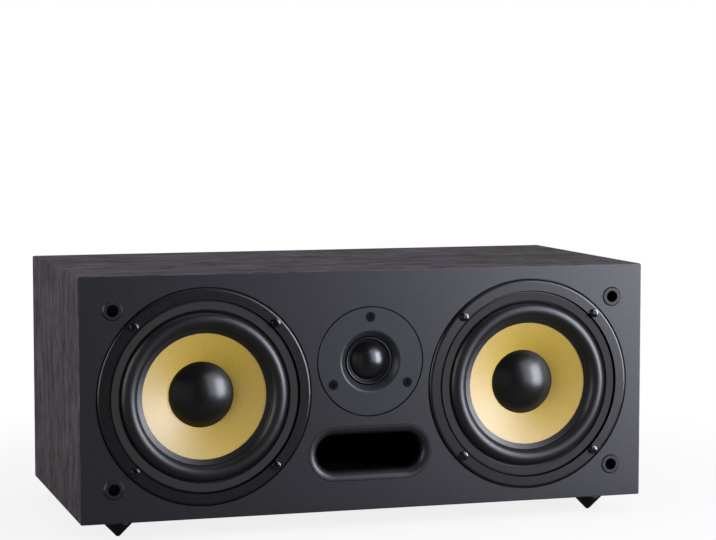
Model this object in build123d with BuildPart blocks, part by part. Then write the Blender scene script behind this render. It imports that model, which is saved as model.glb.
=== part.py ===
from build123d import *
import os
from math import acos, atan2, cos, hypot, pi, radians, sin, sqrt

# Two-way centre channel loudspeaker on cone feet, in millimetres.
# +X is to the right of a listener who faces the baffle, +Y runs from the baffle to the rear
# panel and +Z is up. The origin is on the floor, under the middle of the whole speaker.

# Box boards
cabinet_depth = 207.0
wall_thickness = 15.0
baffle_thickness = 18.0
rear_thickness = 15.0
edge_round = 1.2
arris_round = 0.6
flange_edge_margin = 9.6
flange_side_margin = 12.1

# Fits
slip_gap = 0.3
rebate_gap = 0.7
bond_gap = 0.1
thread_gap = 0.05

# Feet and their inserts
foot_diameter = 20.6
foot_rim_height = 4.2
foot_height = 13.6
foot_tip_diameter = 2.4
foot_side_inset = 30.8
foot_end_inset = 25.3
stud_diameter = 6.0
stud_length = 11.0
insert_wall = 1.6
insert_length = 12.0

# Woofer frame
woofer_frame_diameter = 153.6
flange_width = 8.2
flange_thickness = 4.5
flange_proud = 1.5
flange_round = 2.0
landing_depth = 3.0
landing_shelf = 1.0
basket_wall = 4.0
basket_depth = 38.0
basket_floor = 3.0
spider_rise = 11.0
ledge_width = 6.0
window_count = 6
window_angle = 43.0
window_rim = 1.5

# Woofer soft parts and cone
trim_width = 6.9
trim_groove = 1.7
trim_thickness = 1.2
surround_thickness = 0.8
roll_gap = 1.4
roll_width = 11.8
roll_height = 4.5
lip_width = 3.9
cone_edge_inset = 1.0
cone_thickness = 0.8
cone_rim_angle = 20.8
cone_curve_radius = 141.0
dust_cap_diameter = 47.0
dust_cap_height = 9.0
dust_cap_thickness = 0.7
spider_thickness = 0.5
spider_wave_height = 1.5
spider_waves = 5
spider_neck_width = 2.0

# Woofer motor
coil_diameter = 26.0
former_thickness = 0.35
former_stub = 2.0
winding_thickness = 0.7
winding_overhang = 3.5
former_tail = 0.5
air_gap = 0.4
top_plate_thickness = 5.0
magnet_setback = 6.0
magnet_width = 18.0
magnet_thickness = 15.0
magnet_overhang = 4.0
yoke_thickness = 5.0
vent_diameter = 8.0
cone_travel = 4.0

# Driver screws
woofer_screw_head_diameter = 6.4
woofer_screw_head_height = 2.0
woofer_screw_diameter = 4.0
woofer_screw_length = 16.0
woofer_screw_count = 4
tweeter_screw_head_diameter = 7.2
tweeter_screw_diameter = 3.2
tweeter_screw_length = 14.0
tweeter_screw_count = 3
cross_slot_width = 0.8
cross_slot_depth = 1.0

# Terminal strips on the drivers
strip_width = 16.0
strip_length = 14.0
strip_thickness = 1.6
tab_width = 4.8
tab_length = 15.0
tab_thickness = 0.8
tab_spacing = 7.0
strip_clearance = 1.0

# Tweeter
dome_diameter = 28.0
dome_height = 6.2
dome_thickness = 0.4
dome_surround_width = 3.6
dome_surround_height = 1.6
dome_surround_thickness = 0.4
clamp_width = 3.0
flare_width = 5.0
flare_lip_round = 2.5
throat_edge = 0.9
faceplate_thickness = 4.0
boss_height = 1.5
faceplate_bevel = 0.4
tweeter_ledge = 10.0
tweeter_clearance = 2.1
tweeter_screw_inset = 7.1
tweeter_former_thickness = 0.3
tweeter_winding_thickness = 0.5
tweeter_winding_length = 3.0
tweeter_winding_start = 0.7
tweeter_air_gap = 0.35
tweeter_plate_thickness = 4.0
tweeter_magnet_setback = 3.0
tweeter_magnet_width = 9.25
tweeter_magnet_thickness = 10.0
tweeter_magnet_overhang = 2.0
tweeter_yoke_thickness = 4.0
tweeter_vent_diameter = 5.0
tweeter_former_tail = 0.5

# Middle bay: port below, tweeter above it, woofer flanges on both sides
port_rise = 21.8
port_opening_width = 78.7
port_opening_height = 26.2
port_flare = 6.4
port_flange_backing = 1.5
port_wall = 2.5
port_length = 120.0
bay_gap = 7.3
bay_margin = 5.2
port_flange_gap = 8.0

# Grille sockets
socket_bore_diameter = 8.5
socket_bore_depth = 10.0
socket_wall = 1.4
socket_end = 2.0
socket_flange_width = 1.6
socket_flange_height = 0.9
socket_gap = 6.4
socket_angle = 43.7

# Terminal cup and binding posts
cup_opening_width = 76.0
cup_opening_height = 50.0
cup_depth = 26.0
cup_wall = 2.5
cup_flange_width = 8.0
cup_flange_thickness = 2.5
cup_corner_round = 5.0
cup_screw_inset = 5.0
cup_screw_head_diameter = 6.0
cup_screw_diameter = 3.0
cup_screw_length = 14.0
post_spacing = 19.0
post_flange_diameter = 14.0
post_flange_height = 3.0
post_thread_diameter = 8.0
post_thread_length = 16.0
post_tail_diameter = 6.0
post_tail_length = 14.0
wire_hole_diameter = 2.6
wire_hole_rise = 1.6
plug_bore_diameter = 4.1
plug_bore_depth = 13.0
collar_diameter = 13.2
collar_height = 2.0
knob_diameter = 14.5
knob_length = 15.0
knob_flutes = 12
knob_flute_diameter = 2.0
knob_end_round = 1.0
nut_width = 10.0
nut_height = 5.0

# Crossover
board_thickness = 1.6
board_margin = 10.0
board_clearance = 24.0
board_screw_inset = 5.0
spacer_height = 6.0
spacer_diameter = 7.0
board_screw_diameter = 3.0
board_screw_head_diameter = 6.0
board_screw_head_height = 2.0
board_screw_grip = 8.0
woofer_inductor_diameter = 42.0
woofer_inductor_bore = 16.0
woofer_inductor_height = 20.0
tweeter_inductor_diameter = 28.0
tweeter_inductor_bore = 12.0
tweeter_inductor_height = 14.0
large_capacitor_diameter = 16.0
large_capacitor_length = 38.0
small_capacitor_diameter = 13.0
small_capacitor_length = 30.0
resistor_length = 26.0
resistor_width = 9.0
resistor_height = 9.0
resistor_chamfer = 0.8
capacitor_end_round = 1.0
part_gap = 3.0

# Leads and damping
lead_diameter = 4.0
lead_bend = 12.0
lead_reach = 28.0
post_lead_reach = 18.0
lead_pitch = 13.5
pad_thickness = 18.0
pad_depth = 96.0
pad_margin = 8.0

# Woofer radii, from the flange inwards
flange_radius = woofer_frame_diameter / 2
landing_radius = flange_radius - flange_width
trim_outer_radius = landing_radius - trim_groove
trim_inner_radius = landing_radius - trim_width
roll_outer_radius = trim_inner_radius - roll_gap
roll_inner_radius = roll_outer_radius - roll_width
lip_inner_radius = roll_inner_radius - lip_width
cone_radius = roll_inner_radius - cone_edge_inset
shelf_radius = roll_outer_radius + landing_shelf
throat_radius = shelf_radius + basket_wall
woofer_screw_radius = (landing_radius + flange_radius - flange_round) / 2

# Woofer motor radii, from the voice coil outwards
former_radius = coil_diameter / 2
winding_radius = former_radius + winding_thickness
gap_radius = winding_radius + air_gap
pole_radius = former_radius - former_thickness - air_gap
magnet_inner_radius = gap_radius + magnet_setback
magnet_radius = magnet_inner_radius + magnet_width
top_plate_radius = magnet_radius - magnet_overhang
ledge_outer_radius = top_plate_radius + ledge_width
ring_radius = ledge_outer_radius + basket_wall
basket_opening_radius = gap_radius + cone_travel
neck_radius = former_radius + bond_gap
cap_radius = dust_cap_diameter / 2

# Woofer depths, back from the front of the flange
lip_depth = landing_depth - surround_thickness
ledge_depth = basket_depth - spider_rise
top_plate_depth = basket_depth
magnet_depth = top_plate_depth + top_plate_thickness
yoke_depth = magnet_depth + magnet_thickness
roll_crest = roll_height - lip_depth

# Tweeter radii and depths, back from the face of the baffle
dome_radius = dome_diameter / 2
throat_of_flare = dome_radius + dome_surround_width + bond_gap
flare_lip_radius = throat_of_flare + flare_width
clamp_radius = throat_of_flare + clamp_width
tweeter_former_radius = dome_radius - bond_gap
tweeter_winding_radius = tweeter_former_radius + tweeter_winding_thickness
tweeter_gap_radius = tweeter_winding_radius + tweeter_air_gap
tweeter_pole_radius = tweeter_former_radius - tweeter_former_thickness - tweeter_air_gap
tweeter_magnet_inner = tweeter_gap_radius + tweeter_magnet_setback
tweeter_magnet_radius = tweeter_magnet_inner + tweeter_magnet_width
tweeter_plate_radius = tweeter_magnet_radius - tweeter_magnet_overhang
tweeter_cutout_radius = tweeter_magnet_radius + tweeter_clearance
faceplate_radius = tweeter_cutout_radius + tweeter_ledge
tweeter_screw_radius = faceplate_radius - tweeter_screw_inset
clamp_depth = faceplate_thickness + boss_height
flare_depth = clamp_depth - throat_edge
tweeter_plate_depth = clamp_depth + dome_surround_thickness
tweeter_magnet_depth = tweeter_plate_depth + tweeter_plate_thickness
tweeter_yoke_depth = tweeter_magnet_depth + tweeter_magnet_thickness

# Port flange
port_flange_width = port_opening_width + 2 * port_flare
port_flange_height = port_opening_height + 2 * port_flare
port_flange_depth = port_flare + port_flange_backing

# Heights of the drivers and the port above the underside of the box
port_level = port_rise + port_flange_height / 2
tweeter_level = port_rise + port_flange_height + bay_gap + faceplate_radius
woofer_stack = woofer_frame_diameter + 2 * flange_edge_margin
bay_stack = tweeter_level + faceplate_radius + flange_edge_margin
cabinet_height = max(woofer_stack, bay_stack)
woofer_level = cabinet_height / 2

# The woofers stand as close as the tweeter and the round ends of the port let them
port_end_radius = port_flange_height / 2
port_end_reach = flange_radius + port_end_radius + port_flange_gap
port_end_drop = min(abs(woofer_level - port_level), port_end_reach)
beside_tweeter = flange_radius + faceplate_radius + bay_margin
beside_port = sqrt(port_end_reach**2 - port_end_drop**2) + port_flange_width / 2 - port_end_radius
woofer_offset = max(beside_tweeter, beside_port)
cabinet_width = 2 * (woofer_offset + flange_radius + flange_side_margin)

# Places in the frame
front_proud = flange_proud + max(roll_crest, woofer_screw_head_height)
rear_proud = cup_flange_thickness
front_y = (front_proud - cabinet_depth - rear_proud) / 2
rear_y = front_y + cabinet_depth
rear_inner_y = rear_y - rear_thickness
wrap_y = front_y + baffle_thickness
floor_z = foot_height
woofer_z = floor_z + woofer_level
tweeter_z = floor_z + tweeter_level
port_z = floor_z + port_level
middle_z = floor_z + cabinet_height / 2
woofer_y = front_y - flange_proud
woofer_seat_depth = flange_thickness - flange_proud
cup_floor_y = rear_y - cup_depth
board_y = rear_inner_y - spacer_height - board_thickness


# The crossover board takes its size from two columns of parts
left_column = max(woofer_inductor_diameter, large_capacitor_length)
right_column = max(tweeter_inductor_diameter, small_capacitor_length, resistor_length)
left_stack = woofer_inductor_diameter + part_gap + large_capacitor_diameter
right_stack = tweeter_inductor_diameter + small_capacitor_diameter + resistor_width + 2 * part_gap
board_width = left_column + right_column + part_gap + 2 * board_margin
board_height = max(left_stack, right_stack) + 2 * board_margin
board_left = cup_opening_width / 2 + cup_wall + board_clearance
board_offset = board_left + board_width / 2
parts_top = middle_z + board_height / 2 - board_margin
left_column_x = board_left + board_margin + left_column / 2
right_column_x = board_left + board_margin + left_column + part_gap + right_column / 2
woofer_inductor_z = parts_top - woofer_inductor_diameter / 2
large_capacitor_z = parts_top - woofer_inductor_diameter - part_gap - large_capacitor_diameter / 2
tweeter_inductor_z = parts_top - tweeter_inductor_diameter / 2
small_capacitor_z = parts_top - tweeter_inductor_diameter - part_gap - small_capacitor_diameter / 2
resistor_z = small_capacitor_z - small_capacitor_diameter / 2 - part_gap - resistor_width / 2

# Reach of the driver tabs, and the edge of the board where the leads end
strip_inner_reach = top_plate_radius + strip_clearance
strip_outer_reach = strip_inner_reach + strip_length
tweeter_strip_x = tweeter_vent_diameter / 2 + strip_clearance
lead_end_x = board_left + board_margin / 2

woofer_x = {"left": -woofer_offset, "right": woofer_offset}
post_x = {"red": post_spacing / 2, "black": -post_spacing / 2}
inner_width = cabinet_width - 2 * wall_thickness
inner_height = cabinet_height - 2 * wall_thickness

foot_x = cabinet_width / 2 - foot_side_inset
foot_places = {
    "front_left": (-foot_x, front_y + foot_end_inset),
    "front_right": (foot_x, front_y + foot_end_inset),
    "rear_left": (-foot_x, rear_y - foot_end_inset),
    "rear_right": (foot_x, rear_y - foot_end_inset),
}

socket_flange_radius = socket_bore_diameter / 2 + socket_wall + socket_flange_width
socket_reach = flange_radius + socket_flange_radius + socket_gap
socket_x = woofer_offset + socket_reach * cos(radians(socket_angle))
socket_rise = socket_reach * sin(radians(socket_angle))
socket_places = [(x, woofer_z + z) for x in (-socket_x, socket_x) for z in (-socket_rise, socket_rise)]

cup_screw_x = cup_opening_width / 2 + cup_flange_width - cup_screw_inset
cup_screw_z = cup_opening_height / 2 + cup_flange_width - cup_screw_inset
cup_screw_places = [
    (x, middle_z + z) for x in (-cup_screw_x, cup_screw_x) for z in (-cup_screw_z, cup_screw_z)
]

board_screw_x = board_width / 2 - board_screw_inset
board_screw_z = board_height / 2 - board_screw_inset
board_screw_places = [
    (board_offset + x, middle_z + z)
    for x in (-board_screw_x, board_screw_x)
    for z in (-board_screw_z, board_screw_z)
]


def front_view(y):
    """Sketch plane seen from the front: local x is +X, local y is +Z, and extruding goes forwards."""
    return Plane.XZ.offset(-y)


def rear_view(y, x=0.0, z=0.0):
    """Plane whose normal points out of the back of the box."""
    return Plane(origin=(x, y, z), x_dir=(1, 0, 0), z_dir=(0, 1, 0))


def facing_plane(x, y, z):
    """Plane at a point of the baffle, with its normal towards the listener."""
    return Plane(origin=(x, y, z), x_dir=(1, 0, 0), z_dir=(0, -1, 0))


def turning_plane(x, y, z):
    """Half-section plane of a turned piece: local x is the radius, local y is the depth along +Y."""
    return Plane(origin=(x, y, z))


def turning_axis(x, y, z):
    return Axis((x, y, z), (0, 1, 0))


def cone_depth(radius, skin=0.0):
    """Depth of the cone's face at a radius; skin moves in from its front to its back."""
    centre_radius = cone_radius + cone_curve_radius * sin(radians(cone_rim_angle))
    centre_depth = landing_depth + cone_curve_radius * cos(radians(cone_rim_angle))
    return centre_depth - sqrt((cone_curve_radius - skin) ** 2 - (centre_radius - radius) ** 2)


def save(part, name):
    part.label = name
    export_step(part, f"parts/{name}.step")


def make_cabinet_wrap():
    """Foil-faced board, folded round into top, sides and bottom, with blind holes for the inserts."""
    with BuildPart() as wrap:
        with BuildSketch(front_view(wrap_y)):
            with Locations((0, middle_z)):
                RectangleRounded(cabinet_width, cabinet_height, edge_round)
                Rectangle(inner_width, inner_height, mode=Mode.SUBTRACT)
        extrude(amount=wrap_y - rear_y)
        for x, y in foot_places.values():
            with Locations(Plane(origin=(x, y, floor_z), x_dir=(1, 0, 0), z_dir=(0, 0, -1))):
                Hole(stud_diameter / 2 + insert_wall + thread_gap, insert_length + thread_gap)
    return wrap.part


def make_front_baffle():
    """Full-face board with rebated driver cut-outs, the port slot and the socket holes."""
    with BuildPart() as baffle:
        with BuildSketch(front_view(front_y)):
            with Locations((0, middle_z)):
                RectangleRounded(cabinet_width, cabinet_height, edge_round)
        extrude(amount=-baffle_thickness)
        fillet(baffle.faces().sort_by(Axis.Y)[0].edges(), arris_round)
        for x in woofer_x.values():
            with Locations(facing_plane(x, front_y, woofer_z)):
                CounterBoreHole(throat_radius + slip_gap, flange_radius + rebate_gap, woofer_seat_depth)
                with PolarLocations(woofer_screw_radius, woofer_screw_count, 180 / woofer_screw_count):
                    Hole(woofer_screw_diameter / 2 + thread_gap, woofer_screw_length)
        with Locations(facing_plane(0, front_y, tweeter_z)):
            CounterBoreHole(tweeter_cutout_radius, faceplate_radius + rebate_gap, faceplate_thickness)
            with PolarLocations(tweeter_screw_radius, tweeter_screw_count, 90):
                Hole(tweeter_screw_diameter / 2 + thread_gap, tweeter_screw_length + slip_gap)
        with BuildSketch(front_view(front_y)):
            with Locations((0, port_z)):
                SlotOverall(port_flange_width + 2 * slip_gap, port_flange_height + 2 * slip_gap)
        extrude(amount=-port_flange_depth, mode=Mode.SUBTRACT)
        with BuildSketch(front_view(front_y)):
            with Locations((0, port_z)):
                port_cut = port_wall + slip_gap
                SlotOverall(port_opening_width + 2 * port_cut, port_opening_height + 2 * port_cut)
        extrude(amount=-baffle_thickness, mode=Mode.SUBTRACT)
        socket_hole_radius = socket_bore_diameter / 2 + socket_wall + bond_gap
        for x, z in socket_places:
            with Locations(facing_plane(x, front_y, z)):
                Hole(socket_hole_radius, socket_bore_depth + socket_end + bond_gap)
    return baffle.part


def make_rear_panel():
    """Board let in flush between the walls, cut out for the terminal cup."""
    cup_cut = cup_wall + slip_gap
    with BuildPart() as panel:
        with BuildSketch(front_view(rear_inner_y)):
            with Locations((0, middle_z)):
                Rectangle(inner_width, inner_height)
                RectangleRounded(
                    cup_opening_width + 2 * cup_cut,
                    cup_opening_height + 2 * cup_cut,
                    cup_corner_round + cup_cut,
                    mode=Mode.SUBTRACT,
                )
        extrude(amount=-rear_thickness)
        for x, z in cup_screw_places:
            with Locations(rear_view(rear_y, x, z)):
                Hole(cup_screw_diameter / 2 + thread_gap, cup_screw_length - cup_flange_thickness + slip_gap)
        for x, z in board_screw_places:
            with Locations(facing_plane(x, rear_inner_y, z)):
                Hole(board_screw_diameter / 2 + thread_gap, board_screw_grip + slip_gap)
    return panel.part


def make_port_tube():
    """Moulded slot port: flush flange, rounded mouth and a straight tube into the box."""
    with BuildPart() as port:
        with BuildSketch(front_view(front_y)):
            with Locations((0, port_z)):
                SlotOverall(port_flange_width, port_flange_height)
        extrude(amount=-port_flange_depth)
        with BuildSketch(front_view(front_y)):
            with Locations((0, port_z)):
                SlotOverall(port_opening_width + 2 * port_wall, port_opening_height + 2 * port_wall)
        extrude(amount=-port_length)
        with BuildSketch(front_view(front_y)):
            with Locations((0, port_z)):
                SlotOverall(port_opening_width, port_opening_height)
        extrude(amount=-port_length, mode=Mode.SUBTRACT)
        mouth = port.faces().sort_by(Axis.Y)[0].inner_wires()[0]
        fillet(mouth.edges(), port_flare - arris_round)
    return port.part


def make_grille_sockets():
    """Four push-in cups that take the pegs of a grille frame."""
    bore_radius = socket_bore_diameter / 2
    body_radius = bore_radius + socket_wall
    with BuildPart() as sockets:
        for x, z in socket_places:
            with BuildSketch(turning_plane(x, front_y, z)):
                with BuildLine():
                    Polyline(
                        (bore_radius, socket_bore_depth),
                        (0, socket_bore_depth),
                        (0, socket_bore_depth + socket_end),
                        (body_radius, socket_bore_depth + socket_end),
                        (body_radius, 0),
                        (socket_flange_radius, 0),
                        (socket_flange_radius - socket_flange_height, -socket_flange_height),
                        (bore_radius, -socket_flange_height),
                        close=True,
                    )
                make_face()
            revolve(axis=turning_axis(x, front_y, z))
    return sockets.part


def make_foot(x, y):
    """Turned cone with a rim under the box, a blunt tip and a stud for the insert."""
    with BuildPart() as foot:
        with BuildSketch(Plane(origin=(x, y, 0), x_dir=(1, 0, 0), z_dir=(0, -1, 0))):
            with BuildLine():
                Polyline(
                    (0, 0),
                    (foot_tip_diameter / 2, 0),
                    (foot_diameter / 2, foot_height - foot_rim_height),
                    (foot_diameter / 2, foot_height),
                    (stud_diameter / 2 - thread_gap, foot_height),
                    (stud_diameter / 2 - thread_gap, foot_height + stud_length),
                    (0, foot_height + stud_length),
                    close=True,
                )
            make_face()
        revolve(axis=Axis((x, y, 0), (0, 0, 1)))
    return foot.part


def make_foot_inserts():
    """Threaded sleeves pressed into the bottom board."""
    with BuildPart() as inserts:
        for x, y in foot_places.values():
            with BuildSketch(Plane.XY.offset(floor_z)):
                with Locations((x, y)):
                    Circle(stud_diameter / 2 + insert_wall)
                    Circle(stud_diameter / 2, mode=Mode.SUBTRACT)
            extrude(amount=insert_length)
    return inserts.part


def make_washer(x, y, z, outer_radius, inner_radius, thickness):
    """Flat ring that starts at depth y and grows towards the rear."""
    with BuildPart() as ring:
        with BuildSketch(front_view(y)):
            with Locations((x, z)):
                Circle(outer_radius)
                Circle(inner_radius, mode=Mode.SUBTRACT)
        extrude(amount=-thickness)
    return ring.part


def make_basket(x):
    """Cast frame: rounded flange, landing for the surround, spokes, spider ledge and motor seat."""
    round_inset = flange_round * (1 - sqrt(0.5))
    with BuildPart() as basket:
        with BuildSketch(turning_plane(x, woofer_y, woofer_z)):
            with BuildLine():
                Line((landing_radius, 0), (flange_radius - flange_round, 0))
                ThreePointArc(
                    (flange_radius - flange_round, 0),
                    (flange_radius - round_inset, round_inset),
                    (flange_radius, flange_round),
                )
                Polyline(
                    (flange_radius, flange_round),
                    (flange_radius, flange_thickness),
                    (throat_radius, flange_thickness),
                    (ring_radius, ledge_depth),
                    (ring_radius, basket_depth),
                    (basket_opening_radius, basket_depth),
                    (basket_opening_radius, basket_depth - basket_floor),
                    (top_plate_radius, basket_depth - basket_floor),
                    (top_plate_radius, ledge_depth),
                    (ledge_outer_radius, ledge_depth),
                    (shelf_radius, flange_thickness),
                    (shelf_radius, landing_depth),
                    (landing_radius, landing_depth),
                    (landing_radius, 0),
                )
            make_face()
        revolve(axis=turning_axis(x, woofer_y, woofer_z))
        window_outer = shelf_radius - window_rim
        window_inner = ledge_outer_radius + window_rim
        with BuildSketch(front_view(woofer_y + flange_thickness)):
            with Locations((x, woofer_z)):
                with PolarLocations(0, window_count):
                    with BuildLine():
                        outer = CenterArc((0, 0), window_outer, -window_angle / 2, window_angle)
                        inner = CenterArc((0, 0), window_inner, -window_angle / 2, window_angle)
                        Line(outer @ 0, inner @ 0)
                        Line(outer @ 1, inner @ 1)
                    make_face()
        extrude(amount=flange_thickness - basket_depth, mode=Mode.SUBTRACT)
        with Locations(facing_plane(x, woofer_y, woofer_z)):
            with PolarLocations(woofer_screw_radius, woofer_screw_count, 180 / woofer_screw_count):
                Hole(woofer_screw_diameter / 2 + bond_gap)
    return basket.part


def make_surround(x):
    """Rubber half roll with a flat on the frame's landing and a lip that lies along the cone's edge."""
    roll_middle = (roll_outer_radius + roll_inner_radius) / 2
    lip_radii = (cone_radius, (cone_radius + lip_inner_radius) / 2, lip_inner_radius)
    lip_front = [(radius, cone_depth(radius) - surround_thickness) for radius in lip_radii]
    lip_back = [(radius, cone_depth(radius) - bond_gap) for radius in lip_radii]
    flat_radius = landing_radius - bond_gap
    crest = lip_depth - roll_height
    with BuildPart() as surround:
        with BuildSketch(turning_plane(x, woofer_y, woofer_z)):
            with BuildLine():
                Line((flat_radius, lip_depth), (roll_outer_radius, lip_depth))
                ThreePointArc(
                    (roll_outer_radius, lip_depth),
                    (roll_middle, crest),
                    (roll_inner_radius, lip_depth),
                )
                Line((roll_inner_radius, lip_depth), lip_front[0])
                ThreePointArc(*lip_front)
                Line(lip_front[2], lip_back[2])
                ThreePointArc(*lip_back)
                Line(lip_back[0], (roll_inner_radius + surround_thickness, landing_depth))
                ThreePointArc(
                    (roll_inner_radius + surround_thickness, landing_depth),
                    (roll_middle, crest + surround_thickness),
                    (roll_outer_radius - surround_thickness, landing_depth),
                )
                Polyline(
                    (roll_outer_radius - surround_thickness, landing_depth),
                    (flat_radius, landing_depth),
                    (flat_radius, lip_depth),
                )
            make_face()
        revolve(axis=turning_axis(x, woofer_y, woofer_z))
    return surround.part


def make_cone(x):
    """Woven cone: an even skin with a flared profile, open at the neck."""
    stations = (cone_radius, (cone_radius + neck_radius) / 2, neck_radius)
    with BuildPart() as cone:
        with BuildSketch(turning_plane(x, woofer_y, woofer_z)):
            with BuildLine():
                front = ThreePointArc(*[(r, cone_depth(r)) for r in stations])
                back = ThreePointArc(*[(r, cone_depth(r, cone_thickness)) for r in stations])
                Line(front @ 0, back @ 0)
                Line(front @ 1, back @ 1)
            make_face()
        revolve(axis=turning_axis(x, woofer_y, woofer_z))
    return cone.part


def make_dome_shell(x, y, z, radius, height, thickness):
    """Thin spherical cap whose rim lies in the plane at depth y and whose crown is in front of it."""
    sphere = (radius**2 + height**2) / (2 * height)
    centre = sphere - height
    inner_sphere = sphere - thickness
    inner_rim = sqrt(inner_sphere**2 - centre**2)
    outer_middle = (radius / 2, centre - sqrt(sphere**2 - (radius / 2) ** 2))
    inner_middle = (inner_rim / 2, centre - sqrt(inner_sphere**2 - (inner_rim / 2) ** 2))
    with BuildPart() as dome:
        with BuildSketch(turning_plane(x, y, z)):
            with BuildLine():
                ThreePointArc((radius, 0), outer_middle, (0, -height))
                Line((0, -height), (0, thickness - height))
                ThreePointArc((0, thickness - height), inner_middle, (inner_rim, 0))
                Line((inner_rim, 0), (radius, 0))
            make_face()
        revolve(axis=turning_axis(x, y, z))
    return dome.part


def make_voice_coil(x, y, z, start, end, radius, thickness, winding, winding_start, winding_end):
    """Former tube with its winding bonded round the inner end."""
    with BuildPart() as coil:
        with BuildSketch(turning_plane(x, y, z)):
            with BuildLine():
                Polyline(
                    (radius - thickness, start),
                    (radius, start),
                    (radius, winding_start),
                    (radius + winding, winding_start),
                    (radius + winding, winding_end),
                    (radius, winding_end),
                    (radius, end),
                    (radius - thickness, end),
                    close=True,
                )
            make_face()
        revolve(axis=turning_axis(x, y, z))
    return coil.part


def make_spider(x):
    """Corrugated cloth ring from the former to the basket's ledge."""
    inner = former_radius + bond_gap
    wave_start = inner + spider_neck_width
    wave_step = (top_plate_radius - wave_start) / (2 * spider_waves)
    middle = ledge_depth - spider_thickness
    crests = [
        (wave_start + (2 * wave + 1) * wave_step, middle - spider_wave_height * (-1) ** wave)
        for wave in range(spider_waves)
    ]
    outer = ledge_outer_radius - bond_gap
    front = [(inner, middle), (wave_start, middle), *crests, (top_plate_radius, middle), (outer, middle)]
    back = [(radius, depth + spider_thickness) for radius, depth in reversed(front)]
    with BuildPart() as spider:
        with BuildSketch(turning_plane(x, woofer_y, woofer_z)):
            with BuildLine():
                Polyline(*front, *back, close=True)
            make_face()
        revolve(axis=turning_axis(x, woofer_y, woofer_z))
    return spider.part


def make_yoke(x, y, z, plate_radius, plate_thickness, pole, pole_height, vent):
    """Back plate with a vented pole piece that stands forwards through the magnet."""
    with BuildPart() as yoke:
        with BuildSketch(front_view(y)):
            with Locations((x, z)):
                Circle(plate_radius)
        extrude(amount=-plate_thickness)
        with BuildSketch(front_view(y)):
            with Locations((x, z)):
                Circle(pole)
        extrude(amount=pole_height)
        with Locations(facing_plane(x, y - pole_height, z)):
            Hole(vent)
    return yoke.part


def make_terminals(x, y, z, direction):
    """Flat strip that starts at x and runs along X, with two solder tabs on its rear face."""
    with BuildPart() as terminals:
        with BuildSketch(front_view(y)):
            with Locations((x + direction * strip_length / 2, z)):
                Rectangle(strip_length, strip_width)
        extrude(amount=-strip_thickness)
        tab_middle = x + direction * (strip_length - tab_length / 3)
        with BuildSketch(front_view(y + strip_thickness)):
            with Locations((tab_middle, z - tab_spacing / 2), (tab_middle, z + tab_spacing / 2)):
                Rectangle(tab_length, tab_width)
        extrude(amount=-tab_thickness)
    return terminals.part


def make_screws(places, y, head_radius, head_height, shank_radius, length):
    """Pan-head screws with a cross slot, driven from the front; y is the face under the heads."""
    with BuildPart() as screws:
        for x, z in places:
            with BuildSketch(turning_plane(x, y, z)):
                with BuildLine():
                    Polyline(
                        (0, -head_height),
                        (head_radius - head_height / 2, -head_height),
                        (head_radius, -head_height / 2),
                        (head_radius, 0),
                        (shank_radius, 0),
                        (shank_radius, length - shank_radius),
                        (0, length),
                        close=True,
                    )
                make_face()
            revolve(axis=turning_axis(x, y, z))
            with BuildSketch(front_view(y - head_height)):
                with Locations((x, z)):
                    Rectangle(head_radius, cross_slot_width)
                    Rectangle(cross_slot_width, head_radius)
            extrude(amount=-cross_slot_depth, mode=Mode.SUBTRACT)
    return screws.part


def make_flat_screws(places, y, inwards, head_radius, shank_radius, length):
    """Countersunk screws with a cross slot; inwards is +1 from the front and -1 from the rear."""
    with BuildPart() as screws:
        for x, z in places:
            with BuildSketch(turning_plane(x, y, z)):
                with BuildLine():
                    Polyline(
                        (0, 0),
                        (head_radius, 0),
                        (shank_radius, inwards * (head_radius - shank_radius)),
                        (shank_radius, inwards * (length - shank_radius)),
                        (0, inwards * length),
                        close=True,
                    )
                make_face()
            revolve(axis=turning_axis(x, y, z))
            with BuildSketch(front_view(y)):
                with Locations((x, z)):
                    Rectangle(head_radius, cross_slot_width)
                    Rectangle(cross_slot_width, head_radius)
            extrude(amount=-inwards * cross_slot_depth, mode=Mode.SUBTRACT)
    return screws.part


def make_faceplate():
    """Round tweeter plate, flush in the baffle, with a conical flare and a boss over the motor.

    The cone of the flare rises from the throat and runs tangent into the round of its lip.
    """
    drop = flare_depth - flare_lip_round
    lip_tilt = pi / 2 + atan2(drop, flare_width) - acos(flare_lip_round / hypot(drop, flare_width))
    lip_middle, lip_end = [
        (flare_lip_radius - flare_lip_round * sin(tilt), flare_lip_round * (1 - cos(tilt)))
        for tilt in (lip_tilt / 2, lip_tilt)
    ]
    with BuildPart() as plate:
        with BuildSketch(turning_plane(0, front_y, tweeter_z)):
            with BuildLine():
                ThreePointArc((flare_lip_radius, 0), lip_middle, lip_end)
                Polyline(
                    (flare_lip_radius, 0),
                    (faceplate_radius - faceplate_bevel, 0),
                    (faceplate_radius, faceplate_bevel),
                    (faceplate_radius, faceplate_thickness),
                    (tweeter_plate_radius, faceplate_thickness),
                    (tweeter_plate_radius, clamp_depth),
                    (throat_of_flare, clamp_depth),
                    (throat_of_flare, flare_depth),
                    lip_end,
                )
            make_face()
        revolve(axis=turning_axis(0, front_y, tweeter_z))
        with Locations(facing_plane(0, front_y, tweeter_z)):
            with PolarLocations(tweeter_screw_radius, tweeter_screw_count, 90):
                CounterSinkHole(
                    tweeter_screw_diameter / 2 + thread_gap,
                    tweeter_screw_head_diameter / 2 + thread_gap,
                    counter_sink_angle=90,
                )
    return plate.part


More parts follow.
